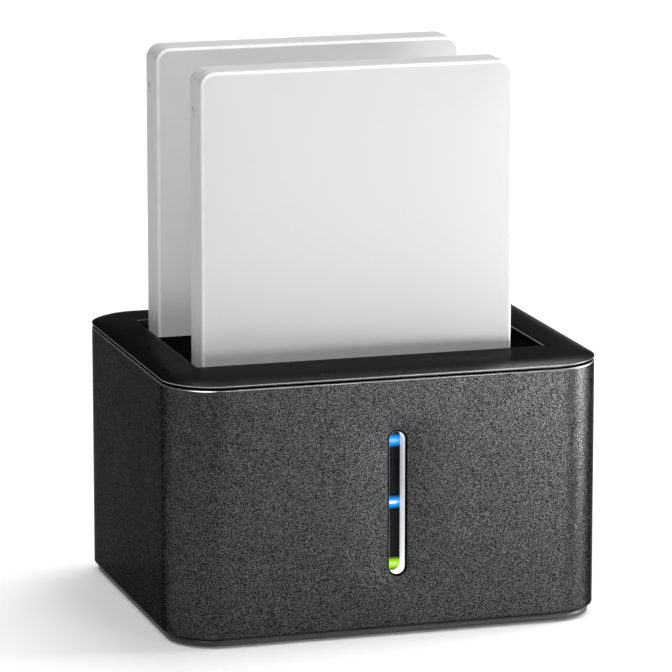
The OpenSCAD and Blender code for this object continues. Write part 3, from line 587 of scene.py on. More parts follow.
def drive_silver(name, finish):
    """Silver drive shell: pale satin paint with a fine fleck.

    The mesh's mark is above nought at the seam, which is dark, and below nought on the face's bevel, where a
    highlight is painted, strongest on the upper edge.
    """
    material, tree, shader, where = start_finish(name)
    grain = grain_at(tree, where, 0.16 * MM)
    drift = drift_at(tree, where, 30 * MM)
    highlight_and_seam = edge_mask(tree, where)
    seam = maths(tree, "MAXIMUM", highlight_and_seam, 0.0)
    bevel = maths(tree, "MAXIMUM", maths(tree, "MULTIPLY", highlight_and_seam, -1.0), 0.0)
    fleck = blend(tree, grain["Tone"], scaled(finish.drive, 0.975), scaled(finish.drive, 1.015))
    body = blend(tree, drift, fleck, finish.drive)
    seamed = blend(tree, seam, body, scaled(finish.drive, 0.42))
    feed(
        tree, shader,
        # Painted highlight on the face's bevel
        Base_Color=blend(tree, bevel, seamed, finish.drive_bevel_highlight),
        Roughness=maths(tree, "ADD", 0.5, maths(tree, "MULTIPLY", drift, 0.06)),
        Normal=relief(tree, grain["Height"], 0.006 * MM, 0.4),
        Specular_IOR_Level=0.4,
    )
    return material


def bright_metal(name, base, rough, stretch, metallic=1.0):
    """Drawn or turned metal with fine streaks."""
    material, tree, shader, where = start_finish(name)
    streak = streak_at(tree, where, stretch)
    drift = drift_at(tree, where, 4 * MM)
    feed(
        tree, shader,
        Base_Color=blend(tree, streak, scaled(base, 0.86), base),
        Roughness=maths(tree, "ADD", rough, maths(tree, "MULTIPLY", drift, 0.12)),
        Normal=relief(tree, streak, 0.004 * MM, 0.5),
        Metallic=metallic,
    )
    return material


def slot_bezel(name, finish):
    """Light slot's bezel: pale walls with a painted white glow, stronger towards the bottom and in a band at the
    top end, and a dark lip where the mesh marks it.
    """
    material, tree, shader, where = start_finish(name)
    low, high = node_box("light_bezel")
    streak = streak_at(tree, where, (900.0, 5000.0, 300.0))
    mark = put(tree, "Attribute", attribute_name="edge").outputs["Fac"]
    walls = blend(tree, streak, scaled(finish.bezel, 0.93), finish.bezel)
    height = put(tree, "SeparateXYZ", {0: where}).outputs["Z"]
    # Painted light: a white glow on the walls, growing towards the bottom
    painted_glow = span(tree, height, 0.75 * high[2] + 0.25 * low[2], low[2], 0.02, 0.3)
    # Painted light: a band of white glow near the top end
    upper = span(tree, height, high[2] - 3.2 * MM, high[2] - 2.0 * MM, 0.0, 0.4)
    painted_glow = maths(tree, "ADD", painted_glow, upper)
    painted_glow = maths(tree, "MULTIPLY", painted_glow, maths(tree, "SUBTRACT", 1.0, mark))
    feed(
        tree, shader,
        Base_Color=blend(tree, mark, walls, scaled(finish.sleeve, 2.2)),
        Roughness=maths(tree, "ADD", 0.34, maths(tree, "MULTIPLY", streak, 0.08)),
        Metallic=mark,
        Emission_Color=blend(tree, painted_glow, (0.0, 0.0, 0.0), (1.0, 1.0, 1.0)),
        Normal=relief(tree, streak, 0.003 * MM, 0.4),
        Emission_Strength=1.0,
    )
    return material


def smoked_window(name, finish):
    """Smoked window: dark gloss, lit from behind round each lamp."""
    material, tree, shader, where = start_finish(name)
    glows = []
    top = node_box("upper_lamp")
    top = 0.5 * (top[0] + top[1])
    for lamp, colour, white in (
        ("upper_lamp", finish.blue_lamp, 0.3), ("middle_lamp", finish.blue_lamp, 1.0),
        ("lower_lamp", finish.green_lamp, 0.25),
    ):
        low, high = node_box(lamp)
        centre = top + GLOW_SPREAD * (0.5 * (low + high) - top)
        glow = put(
            tree, "Group", {"Vector": where, "Centre": tuple(centre), "Stretch": (420.0, 0.0, 1500.0)},
            node_tree=lamp_glow(),
        ).outputs
        halo = blend(tree, glow["Halo"], (0.0, 0.0, 0.0), colour)
        core = maths(tree, "MULTIPLY", glow["Core"], white)
        glows.append(blend(tree, core, halo, (0.9, 0.95, 1.0)))
    light = glows[0]
    for glow in glows[1:]:
        light = put(tree, "Mix", {0: 1.0, 6: light, 7: glow}, data_type="RGBA", blend_type="ADD").outputs[2]
    drift = drift_at(tree, where, 3 * MM)
    feed(
        tree, shader,
        Base_Color=blend(tree, drift, finish.window, scaled(finish.window, 1.6)),
        Roughness=maths(tree, "ADD", 0.1, maths(tree, "MULTIPLY", drift, 0.06)),
        Emission_Color=light,
        Emission_Strength=1.15,
        Specular_IOR_Level=0.1,
    )
    return material


def lamp_lens(name, colour):
    """Lit lamp: a glowing lens, brighter in its middle grain."""
    material, tree, shader, where = start_finish(name)
    drift = drift_at(tree, where, 0.8 * MM)
    glow = blend(tree, drift, colour, (0.9, 0.95, 1.0))
    feed(tree, shader, Base_Color=blend(tree, drift, scaled(colour, 0.6), colour), Emission_Color=glow)
    shader.inputs["Emission Strength"].default_value = 2.0
    shader.inputs["Roughness"].default_value = 0.3
    return material


def varnished_board(name):
    """Circuit board: green varnish over copper runs, with tinned pads and the weave's faint relief."""
    material, tree, shader, where = start_finish(name)
    copper = put(tree, "Group", {"Vector": where, "Pitch": 1.1 * MM}, node_tree=board_print()).outputs
    drift = drift_at(tree, where, 8 * MM)
    ground = blend(tree, drift, (0.006, 0.06, 0.028), (0.008, 0.075, 0.036))
    runs = blend(tree, copper["Run"], ground, (0.02, 0.14, 0.055))
    feed(
        tree, shader,
        Base_Color=blend(tree, copper["Pad"], runs, (0.62, 0.6, 0.52)),
        Roughness=maths(tree, "ADD", 0.3, maths(tree, "MULTIPLY", drift, 0.1)),
        Metallic=maths(tree, "MULTIPLY", copper["Pad"], 0.8),
        Normal=relief(tree, copper["Run"], 0.03 * MM, 0.6),
    )
    return material


def plain_plastic(name, base, rough, grain_size, depth):
    """Small moulded part: a fine grain and a slow change of tone and polish."""
    material, tree, shader, where = start_finish(name)
    grain = grain_at(tree, where, grain_size)
    drift = drift_at(tree, where, 5 * MM)
    feed(
        tree, shader,
        Base_Color=blend(tree, drift, scaled(base, 0.85), scaled(base, 1.15)),
        Roughness=maths(tree, "ADD", rough, maths(tree, "MULTIPLY", grain["Tone"], 0.1)),
        Normal=relief(tree, grain["Height"], depth, 0.6),
        Specular_IOR_Level=0.35,
    )
    return material


def make_finishes(finish):
    """One material for each of the record's slots."""
    black = scaled(finish.cover, 0.18)
    FINISHES.clear()
    FINISHES.update({
        "sleeve_textured": coated_black(
            "sleeve_textured", finish.sleeve, finish.sleeve_light, finish.edge,
            sideways=0.26, rough=0.25, grain_size=0.12 * MM, depth=0.008 * MM,
        ),
        "cover_satin": coated_black(
            "cover_satin", finish.cover, scaled(finish.cover, 1.3), finish.edge,
            sideways=0.36, rough=0.27, grain_size=0.5 * MM, depth=0.004 * MM,
        ),
        # Painted shade: the collar is near black with no reflection, standing in for the shade inside the well
        "bay_black": satin_black(
            "bay_black", finish.bay, scaled(finish.bay, 3.0), 0.8, 0.4 * MM, 0.01 * MM, 0.0
        ),
        "base_black": satin_black(
            "base_black", finish.base, scaled(finish.base, 2.2), 0.42, 0.4 * MM, 0.01 * MM
        ),
        "foot_rubber": plain_plastic("foot_rubber", (0.02, 0.02, 0.021), 0.75, 0.25 * MM, 0.02 * MM),
        "screw_steel": bright_metal("screw_steel", (0.55, 0.56, 0.58), 0.28, (3000.0, 3000.0, 800.0)),
        "circuit_board": varnished_board("circuit_board"),
        "connector_black": plain_plastic("connector_black", black, 0.45, 0.3 * MM, 0.008 * MM),
        "contact_gold": bright_metal("contact_gold", (0.9, 0.66, 0.27), 0.2, (6000.0, 6000.0, 600.0)),
        "chip_black": plain_plastic("chip_black", (0.013, 0.013, 0.014), 0.6, 0.12 * MM, 0.01 * MM),
        "can_metal": bright_metal("can_metal", (0.72, 0.73, 0.75), 0.25, (600.0, 600.0, 5000.0)),
        "port_metal": bright_metal("port_metal", (0.64, 0.65, 0.67), 0.24, (500.0, 5000.0, 5000.0)),
        "switch_black": satin_black(
            "switch_black", black, scaled(black, 3.0), 0.35, 0.3 * MM, 0.006 * MM, 0.4
        ),
        "bezel_polished": slot_bezel("bezel_polished", finish),
        "window_smoked": smoked_window("window_smoked", finish),
        "lamp_blue": lamp_lens("lamp_blue", finish.blue_lamp),
        "lamp_green": lamp_lens("lamp_green", finish.green_lamp),
        "connector_cream": plain_plastic("connector_cream", (0.72, 0.68, 0.56), 0.5, 0.3 * MM, 0.008 * MM),
        "cable_white": plain_plastic("cable_white", (0.78, 0.78, 0.77), 0.55, 0.4 * MM, 0.01 * MM),
        "drive_silver": drive_silver("drive_silver", finish),
    })


class DOCK_OT_stage(Operator):
    """Make the camera, the pale floor, the soft lights and the surroundings"""

    bl_idname = "dock.stage"
    bl_label = "Stage"

    def execute(self, context):
        stage = context.scene.dock_stage
        scene = context.scene
        scene.view_settings.view_transform = "Standard"
        self.camera(scene, stage)
        self.floor(scene, stage)
        self.lights(scene)
        world = bpy.data.worlds.new("surroundings")
        world.use_nodes = True
        world.node_tree.nodes["Background"].inputs["Color"].default_value = opaque(stage.world)
        scene.world = world
        return {"FINISHED"}

    def camera(self, scene, stage):
        """Stands on a sphere round the point that it looks at."""
        azimuth, elevation = math.radians(stage.azimuth), math.radians(stage.elevation)
        level = math.cos(elevation)
        back = Vector((math.sin(azimuth) * level, -math.cos(azimuth) * level, math.sin(elevation)))
        lens = bpy.data.cameras.new("camera")
        lens.sensor_fit = "HORIZONTAL"
        lens.sensor_width = SENSOR
        lens.lens = stage.focal_pixels * SENSOR / IMAGE_WIDTH
        lens.clip_end = 30.0
        camera = bpy.data.objects.new("camera", lens)
        camera.location = Vector((stage.look_x, 0.0, stage.look_z)) + back * stage.distance
        camera.rotation_euler = back.to_track_quat("Z", "Y").to_euler()
        scene.collection.objects.link(camera)
        scene.camera = camera

    def floor(self, scene, stage):
        """Flat square that shows the shadow, lifted to white where the camera or a reflection sees it."""
        reach = np.linspace(-4.0, 4.0, 9)
        x, y = np.meshgrid(reach, reach + 1.0)
        points, faces, _ = grid(np.stack([x, y, 0.0 * x], axis=-1), wrap_columns=False)
        mesh = bpy.data.meshes.new("floor")
        mesh.from_pydata(points.tolist(), [], faces.tolist())
        material, tree, shader, where = start_finish("pale_floor")
        drift = drift_at(tree, where, 0.2)
        seen = put(tree, "LightPath").outputs
        direct = maths(tree, "ADD", seen["Is Camera Ray"], seen["Is Glossy Ray"])
        direct = maths(tree, "MINIMUM", maths(tree, "ADD", direct, seen["Is Transmission Ray"]), 1.0)
        away = put(tree, "VectorMath", {0: where}, operation="LENGTH").outputs["Value"]
        lift = span(tree, away, *FLOOR_LIFT)
        feed(
            tree, shader,
            Base_Color=blend(tree, drift, stage.floor, scaled(stage.floor, 1.01)),
            Emission_Strength=maths(tree, "MULTIPLY", direct, lift),
            Emission_Color=(1.0, 1.0, 1.0, 1.0),
            Roughness=0.9,
            Specular_IOR_Level=0.0,
        )
        mesh.materials.append(material)
        floor = bpy.data.objects.new("floor", mesh)
        scene.collection.objects.link(floor)

    def lights(self, scene):
        """Soft boxes: name, place, what it points at, width, height, watts."""
        for name, place, aim, width, height, watts in (
            ("overhead", (0.85, 0.6, 1.35), (0.35, 0.5, 0.0), 1.6, 1.6, 30.0),
            ("front_low", (0.18, -0.34, 0.02), (0.03, -0.04, 0.045), 0.12, 0.036, 0.4),
            ("front_glint", (0.25, -0.65, 0.5), (0.0, -0.04, 0.055), 0.3, 0.3, 0.4),
            ("right_strip", (0.4, -0.05, 0.15), (0.04, -0.03, 0.04), 0.2, 0.2, 0.6),
            ("right_low", (0.42, -0.135, 0.025), (0.045, -0.035, 0.035), 0.06, 0.04, 1.5),
            ("front_left", (-0.59, -0.68, 0.95), (0.0, 0.0, 0.06), 0.8, 0.8, 10.0),
        ):
            data = bpy.data.lights.new(name, "AREA")
            data.shape = "RECTANGLE"
            data.size, data.size_y, data.energy = width, height, watts
            lamp = bpy.data.objects.new(name, data)
            lamp.location = place
            lamp.rotation_euler = (Vector(place) - Vector(aim)).to_track_quat("Z", "Y").to_euler()
            scene.collection.objects.link(lamp)


class DOCK_OT_finishes(Operator):
    """Make the finishes and give them to the CAD pieces that stay"""

    bl_idname = "dock.finishes"
    bl_label = "Finishes"

    def execute(self, context):
        make_finishes(context.scene.dock_finish)
        for part in frame["record"]["subparts"]:
            for slot in frame["nodes"][part["node"]].material_slots:
                slot.material = FINISHES[part["material_slot"]]
        return {"FINISHED"}


class DOCK_OT_sleeve(Operator):
    """Make the body sleeve with its light slot and its rear window"""

    bl_idname = "dock.sleeve"
    bl_label = "Body sleeve"

    def execute(self, context):
        """A wall profile with rounded edges carried round the body's outline, with two holes through it."""
        shape = context.scene.dock_shape
        low, high = node_box("body_sleeve")
        radius, wall, edge = shape.corner_radius, shape.sleeve_wall, shape.sleeve_edge
        around = even_outline(20, 24)
        levels = np.concatenate([
            [low[2] + edge],
            np.linspace(low[2] + edge + 0.4 * MM, high[2] - edge - 0.2 * MM, 18),
            [high[2] - edge],
        ])
        count = len(levels)
        top = fillet(radius - edge, high[2] - edge, edge, 0.0, 90.0, 8)[1:]
        bottom = fillet(radius - edge, low[2] + edge, edge, -90.0, 0.0, 4)[:-1]
        inside = radius - wall
        profile = np.vstack([
            np.column_stack([np.full(count, radius), levels]), top, [[inside, high[2]]],
            np.column_stack([np.full(count, inside), levels[::-1]]), [[inside, low[2]]], bottom,
        ])
        mark = np.zeros(len(profile))
        # Painted highlight along the rounding of the sleeve's top edge
        mark[count + 1: count + 7] = 1.0
        points = around.carry(ring(high[:2] - radius, profile))
        skip = np.zeros(points.shape[:2], bool)
        slot_low, slot_high = node_box("light_bezel")
        slot_middle = 0.5 * (slot_low + slot_high)[[0, 2]]
        slot_radius = 0.5 * shape.slot_width + shape.bezel_wall + 0.05 * MM
        panel_low, panel_high = node_box("rear_panel")
        panel_middle = 0.5 * (panel_low + panel_high)[[0, 2]]
        panel_half = 0.5 * (panel_high - panel_low)[[0, 2]] - 1.5 * MM
        holes = (
            (3, slot_middle, (0.0, 0.5 * (shape.slot_height - shape.slot_width)), slot_radius, 0.1 * MM),
            (1, panel_middle, panel_half - 0.15 * MM, 0.15 * MM, 0.3 * MM),
        )
        grids = []
        outer_rows = np.arange(1, count - 1)
        inner_rows = count + len(top) + 1 + (count - 1 - outer_rows)
        for side, middle, core, hole_radius, hole_edge in holes:
            columns = around.side(side)
            skip[np.ix_(outer_rows[:-1], columns[:-1])] = True
            skip[np.ix_(inner_rows[1:], columns[:-1])] = True
            outer, inner = border(points, outer_rows, columns), border(points, inner_rows, columns)
            grids.append(grid(opening(outer, inner, middle, core, hole_radius, hole_edge)))
        grids.append(grid(points, wrap_rows=True, skip=skip, mark=mark[:, None]))
        make_piece("sleeve_shell", grids, "dock", "sleeve_textured", ["body_sleeve"])
        return {"FINISHED"}


class DOCK_OT_cover(Operator):
    """Make the crowned top cover with its well, locating ring and posts"""

    bl_idname = "dock.cover"
    bl_label = "Top cover"

    def execute(self, context):
        """One closed profile of edge, crown, well wall, ring and groove, carried round body and well."""
        shape = context.scene.dock_shape
        low, high = node_box("top_cover")
        sleeve_top = node_box("body_sleeve")[1][2]
        floor = node_box("bay_frame")[1][2]
        drives_low, drives_high = node_box("front_drive_case", "rear_drive_cover")
        well_low = drives_low[:2] - (shape.well_left, shape.well_end)
        well_high = drives_high[:2] + (shape.well_right, shape.well_end)
        radius, corner, edge = shape.corner_radius, shape.well_corner, shape.well_edge
        half = high[:2] - radius
        well_half = 0.5 * (well_high - well_low) - corner
        shift = 0.5 * (well_low + well_high)[1]
        base = sleeve_top + shape.groove_height
        rise = high[2] - base - shape.cover_edge
        inset = np.concatenate([[0.0, 0.06 * MM], np.linspace(0.3 * MM, shape.crown_run, 14)])
        height = high[2] - rise * (1.0 - inset / shape.crown_run) ** CROWN_POWER
        crown_rows = ring(half, np.column_stack([radius - inset, height]))
        roll = high[2] - shape.inner_roll
        well_rim = ring(well_half, [[corner + edge, roll]], shift)[0]
        share = np.linspace(0.0, 1.0, 9)[1:]
        flat_rows = crown_rows[-1] + share[:, None] * (well_rim - crown_rows[-1])
        flat_rows[:, 4] = high[2] - shape.inner_roll * share ** 2
        well_rows = ring(well_half, np.vstack([
            fillet(corner + edge, roll - edge, edge, 90.0, 180.0, 5)[1:],
            [[corner, 0.5 * (floor + roll)], [corner, floor]],
            [[corner + shape.well_wall, floor], [corner + shape.well_wall, base]],
        ]), shift)
        ring_in = radius - shape.ring_inset - shape.ring_wall
        ring_out = radius - shape.ring_inset
        ring_low = sleeve_top - shape.ring_height
        under = shape.cover_fillet
        ring_rows = ring(half, np.vstack([
            [[ring_in, base], [ring_in, ring_low], [ring_out, ring_low], [ring_out, sleeve_top]],
            [[radius - shape.groove_depth, sleeve_top], [radius - shape.groove_depth, base]],
            fillet(radius - under, base + under, under, -90.0, 0.0, 4),
            [[radius, base + under + 0.07 * MM]],
        ]))
        rows = np.vstack([crown_rows, flat_rows, well_rows, ring_rows])
        around = even_outline(20, 24)
        mark = np.zeros((len(rows), around.count))
        # Painted highlight along the rounding under the cover's edge
        mark[-4:-1] = 0.6
        rim_row = len(crown_rows) + len(flat_rows)
        # Painted highlight along the well's upper edge, on its right side only
        mark[rim_row: rim_row + 4, around.side(0)] = 0.5
        grids = [grid(around.carry(rows), wrap_rows=True, mark=mark)]
        screw_high = node_box("base_screws")[1]
        post = shape.post_radius
        x, y = screw_high[0] - post, screw_high[1] - post
        bore = 1.5 * MM
        profile = [
            [0.0, base + 0.2 * MM], [post, base + 0.2 * MM], [post, low[2]], [bore, low[2]],
            [bore, screw_high[2] + 1.0 * MM], [0.0, screw_high[2] + 1.0 * MM],
        ]
        for side_x in (-x, x):
            for side_y in (-y, y):
                grids.append(grid(lathe(profile, (side_x, side_y, 0.0), 32)))
        make_piece("cover_shell", grids, "dock", "cover_satin", ["top_cover"])
        return {"FINISHED"}


class DOCK_OT_collar(Operator):
    """Make the black collar that closes the well round the drives"""

    bl_idname = "dock.collar"
    bl_label = "Bay collar"

    def execute(self, context):
        """A flat plate across the well with a slot for each drive; the slots' upper edges are rounded."""
        shape = context.scene.dock_shape
        drives = [node_box(f"{bay}_drive_case", f"{bay}_drive_cover") for bay in ("front", "rear")]
        well_low = drives[0][0][:2] - (shape.well_left, shape.well_end)
        well_high = drives[1][1][:2] + (shape.well_right, shape.well_end)
        top = node_box("top_cover")[1][2] - shape.collar_depth
        edge, bottom = shape.collar_edge, top - shape.collar_thick
        room = shape.collar_gap + edge
        slots = [(low[:2] - room, high[:2] + room) for low, high in drives]
        x = np.array([well_low[0], slots[0][0][0], slots[0][1][0], well_high[0]])
        y = np.array([well_low[1], *(corner[1] for slot in slots for corner in slot), well_high[1]])
        flat = np.stack(np.meshgrid(x, y), axis=-1)
        upper = np.dstack([flat, np.full(flat.shape[:2], top)])
        lower = np.dstack([flat, np.full(flat.shape[:2], bottom)])
        skip = np.zeros(flat.shape[:2], bool)
        skip[[1, 3], 1] = True
        round_off = fillet(0.0, top - edge, edge, 90.0, 0.0, 4)
        walls = [grid(np.stack([border(level, np.arange(6), np.arange(4)) for level in (upper, lower)]))]
        for row in (1, 3):
            block = np.array([row, row + 1]), np.array([1, 2])
            rim, foot = border(upper, *block), border(lower, *block)
            inward = np.sign(rim.mean(axis=0) - rim)
            loops = rim + round_off[:, 0][:, None, None] * inward
            loops[..., 2] = round_off[:, 1][:, None]
            last = loops[-1].copy()
            last[:, 2] = bottom
            walls.append(grid(np.concatenate([loops, last[None], foot[None]])))
        plates = [grid(level, wrap_columns=False, skip=skip) for level in (upper, lower)]
        make_piece("collar_plate", [*plates, *walls], "dock", "bay_black", ["bay_collar"])
        return {"FINISHED"}


class DOCK_OT_base(Operator):
    """Make the rounded rim of the base lip and the four rubber feet"""

    bl_idname = "dock.base"
    bl_label = "Base lip and feet"

    def execute(self, context):
        """The rim is an oval section carried round the body's outline; a foot is a rounded turned pad."""
        shape = context.scene.dock_shape
        body_high = node_box("body_sleeve")[1]
        lip_low = node_box("base_plate")[0][2]
        lip_high = node_box("body_sleeve")[0][2] - 0.4 * MM
        radius = shape.corner_radius
        middle, tall = 0.5 * (lip_low + lip_high), 0.5 * (lip_high - lip_low)
        angle = np.linspace(0.0, 2.0 * math.pi, 20, endpoint=False)
        deep = 0.45 * MM
        profile = np.column_stack([
            radius - shape.lip_inset - deep + deep * np.cos(angle), middle + 0.98 * tall * np.sin(angle)
        ])
        rim = even_outline(20, 8).carry(ring(body_high[:2] - radius, profile))
        # Painted highlight: a band along the upper outer side of the lip
        mark = np.clip(1.0 - np.abs(np.degrees(angle) - 40.0) / 30.0, 0.0, 1.0)
        make_piece("base_lip_rim", [grid(rim, wrap_rows=True, mark=mark[:, None])], "dock", "base_black", [])
        for part in ("front_left", "front_right", "rear_left", "rear_right"):
            low, high = node_box("foot_" + part)
            foot = 0.5 * (high - low)[0]
            round_off = 0.25 * MM
            profile = np.vstack([
                [[0.0, high[2]], [foot, high[2]]],
                fillet(foot - round_off, low[2] + round_off, round_off, 0.0, -90.0, 5),
                [[0.78 * foot, low[2]], [0.74 * foot, low[2] + 0.1 * MM], [0.6 * foot, low[2] + 0.1 * MM]],
                [[0.56 * foot, low[2]], [0.0, low[2]]],
            ])
            pad = lathe(profile, (*(0.5 * (low + high))[:2], 0.0))
            make_piece("foot_pad_" + part, [grid(pad)], "dock", "foot_rubber", ["foot_" + part])
        return {"FINISHED"}


class DOCK_OT_light(Operator):
    """Make the light slot's bezel and its smoked window"""

    bl_idname = "dock.light"
    bl_label = "Light slot"

    def execute(self, context):
        """Both are sections carried round the slot's outline, a rectangle with half-round ends."""
        shape = context.scene.dock_shape
        low, high = node_box("light_bezel")
        middle = 0.5 * (low + high)
        radius = 0.5 * shape.slot_width
        half = (0.0, 0.5 * (shape.slot_height - shape.slot_width))
        around = Outline(14, [even_run(16), [], even_run(16), []])
        outer = radius + shape.bezel_wall
        flange = 0.5 * (high - low)[0]
        front, back = -low[1] - 0.3 * MM, -high[1]
        sleeve_in = -node_box("body_sleeve")[0][1] - shape.sleeve_wall - 0.02 * MM
        lip = 0.5 * shape.bezel_wall
        wall = np.linspace(back, front - lip, 8)
        profile = np.vstack([
            np.column_stack([np.full(8, radius), wall]),
            fillet(radius + lip, front - lip, lip, 180.0, 0.0, 8)[1:],
            [[outer, sleeve_in], [flange, sleeve_in], [flange, back]],
        ])
        mark = np.ones(len(profile))
        mark[:9] = 0.0
        place = np.array([middle[0], 0.0, middle[2]])
        bezel = facing_front(around.carry(ring(half, profile))) + place
        make_piece(
            "slot_bezel", [grid(bezel, wrap_rows=True, mark=mark[:, None])], "dock", "bezel_polished",
            ["light_bezel"],
        )
        glass_low, glass_high = node_box("light_window")
        share = np.linspace(0.0, 0.97, 7)
        crown = -glass_low[1] + 0.18 * MM * (1.0 - share ** 2)
        profile = np.vstack([
            np.column_stack([radius * share, crown]),
            [[flange, -glass_low[1]], [flange, -glass_high[1]], [0.0, -glass_high[1]]],
        ])
        glass = facing_front(around.carry(ring(half, profile))) + place
        make_piece("slot_window", [grid(glass)], "dock", "window_smoked", ["light_window"])
        return {"FINISHED"}


class DOCK_OT_drives(Operator):
    """Make both drives' shells with their side holes and connector openings"""

    bl_idname = "dock.drives"
    bl_label = "Drives"

    def execute(self, context):
        shape = context.scene.dock_shape
        for bay in ("front", "rear"):
            self.shell(shape, bay, "case", -1.0, False)
            self.shell(shape, bay, "cover", 1.0, True)
        return {"FINISHED"}

    def shell(self, shape, bay, part, outward, drilled):
        """A face with rounded edges and a hollow back carried round the drive's outline.

        Heights count from the seam to the outer face. The connector opening is a notch in the lower side, and
        the side holes are blind, with a boss behind each.
        """
        node = f"{bay}_drive_{part}"
        low, high = node_box(node)
        plug_low, plug_high = node_box(f"{bay}_drive_plug")
        seam = high[1] if outward < 0 else low[1]
        middle = np.array([0.5 * (low + high)[0], seam, 0.5 * (low + high)[2]])
        radius, edge, wall, bevel = shape.drive_corner, shape.drive_edge, shape.drive_wall, shape.drive_seam
        thick = (high - low)[1]
        half = 0.5 * (high - low)[[0, 2]] - radius
        notch = plug_high[1] - seam if outward > 0 else seam - plug_low[1]
        notch_x = (np.array([plug_low[0], plug_high[0]]) - middle[0]) / half[0]
        hole_level = thick - 3.0 * MM
        hole_up = (np.array([14.0, 90.6]) * MM + low[2] - middle[2]) / half[1]
        reach = np.linspace(-2.4, 2.4, 11) * MM / half[1]
        side_run = np.unique(np.concatenate([(hole_up[:, None] + reach).ravel(), even_run(8)]).round(6))
        low_run = np.unique(np.concatenate([notch_x, even_run(12)]).round(9))
        around = Outline(12, [side_run, even_run(12), -side_run[::-1], low_run])
        sides = [thick - edge - 0.25 * MM, notch, hole_level, 0.45 * MM, bevel]
        inner = [0.45 * MM, hole_level, notch, thick - wall - 0.02 * MM]
        profile = np.vstack([
            [[radius - edge, thick]],
            fillet(radius - edge, thick - edge, edge, 90.0, 0.0, 7)[1:],
            np.column_stack([np.full(len(sides), radius), sides]),
            [[radius - bevel, 0.0], [radius - wall, 0.0]],
            np.column_stack([np.full(len(inner), radius - wall), inner]),
        ])
        rows = np.vstack([
            [0.0, 0.0, 0.0, 0.0, thick],
            ring(0.5 * half, [[0.5 * (radius - edge), thick]]),
            ring(half, profile),
            [0.0, 0.0, 0.0, 0.0, thick - wall],
        ])
        mark = np.zeros((len(rows), around.count))
        points = around.carry(rows)
        points = np.stack([points[..., 0], outward * points[..., 2], points[..., 1]], axis=-1) + middle
        first_side = 2 + 8
        seam_row = first_side + len(sides)
        mark[seam_row: seam_row + 2] = 1.0
        upward = np.clip(around.way[:, 1], 0.0, 1.0)
        # Painted highlight on the face's bevel, strongest where the outline faces up
        mark[3:7] = -BEVEL_HIGHLIGHT_LEAST - (BEVEL_HIGHLIGHT - BEVEL_HIGHLIGHT_LEAST) * upward
        outer_notch, inner_notch = first_side + 1, seam_row + 2 + 2
        skip = np.zeros(points.shape[:2], bool)
        lower = around.side(3)
        place = (points[first_side, lower, 0] - middle[0]) / half[0]
        cut = lower[(place > notch_x[0] - 1e-6) & (place < notch_x[1] + 1e-6)]
        skip[np.ix_(np.arange(outer_notch, inner_notch), cut[:-1])] = True
        grids = [grid(points[[outer_notch, inner_notch]][:, cut], wrap_columns=False)]
        outer_path = np.arange(outer_notch, seam_row + 1)
        inner_path = np.concatenate([np.arange(inner_notch, seam_row, -1), [seam_row + 1]])[: len(outer_path)]
        for column in (cut[0], cut[-1]):
            end = np.stack([points[outer_path, column], points[inner_path, column]])
            grids.append(grid(end, wrap_columns=False))
        if drilled:
            for side in (0, 2):
                for up in hole_up:
                    columns = around.side(side)
                    grids.extend(self.hole(shape, points, skip, columns, up, half, middle, seam_row))
        grids.append(grid(points, skip=skip, mark=mark))
        make_piece(f"{bay}_drive_shell_{part}", grids, f"{bay}_drive", "drive_silver", [node])

    def hole(self, shape, points, skip, columns, up, half, middle, seam_row):
        """Blind screw hole in a side: a countersunk bore outside, and a closed boss round it inside."""
        height = (points[seam_row - 2, columns, 2] - middle[2]) / half[1]
        near = columns[np.abs(height - up) < 2.4 * MM / half[1] + 1e-6]
        outer_rows = np.arange(seam_row - 5, seam_row - 1)
        inner_rows = np.arange(seam_row + 5, seam_row + 1, -1)
        skip[np.ix_(outer_rows[:-1], near[:-1])] = True
        skip[np.ix_(inner_rows[1:], near[:-1])] = True
        outer, inner = border(points, outer_rows, near), border(points, inner_rows, near)
        level = points[seam_row - 3, near[0], 1]
        centre = np.array([level, up * half[1] + middle[2]])
        inward = np.sign(middle[0] - outer[0, 0])
        plane = [1, 2]
        made = []
        bore, boss = shape.side_hole, shape.side_hole + 0.28 * MM
        for loop, radii, depths in (
            (outer, [bore + 0.16 * MM, bore + 0.02 * MM, bore, bore, 0.0], [0.0, 0.12, 0.2, 3.4, 3.5]),
            (inner, [boss, boss, 0.0], [0.0, 2.5, 2.5]),
        ):
            held, way = hole_loop(loop, plane, centre, (0.0, 0.0))
            tube = hole_rows(loop, plane, 0, held, way, radii, inward * np.array(depths) * MM)
            made.append(grid(np.concatenate([loop[None], tube])))
        return made


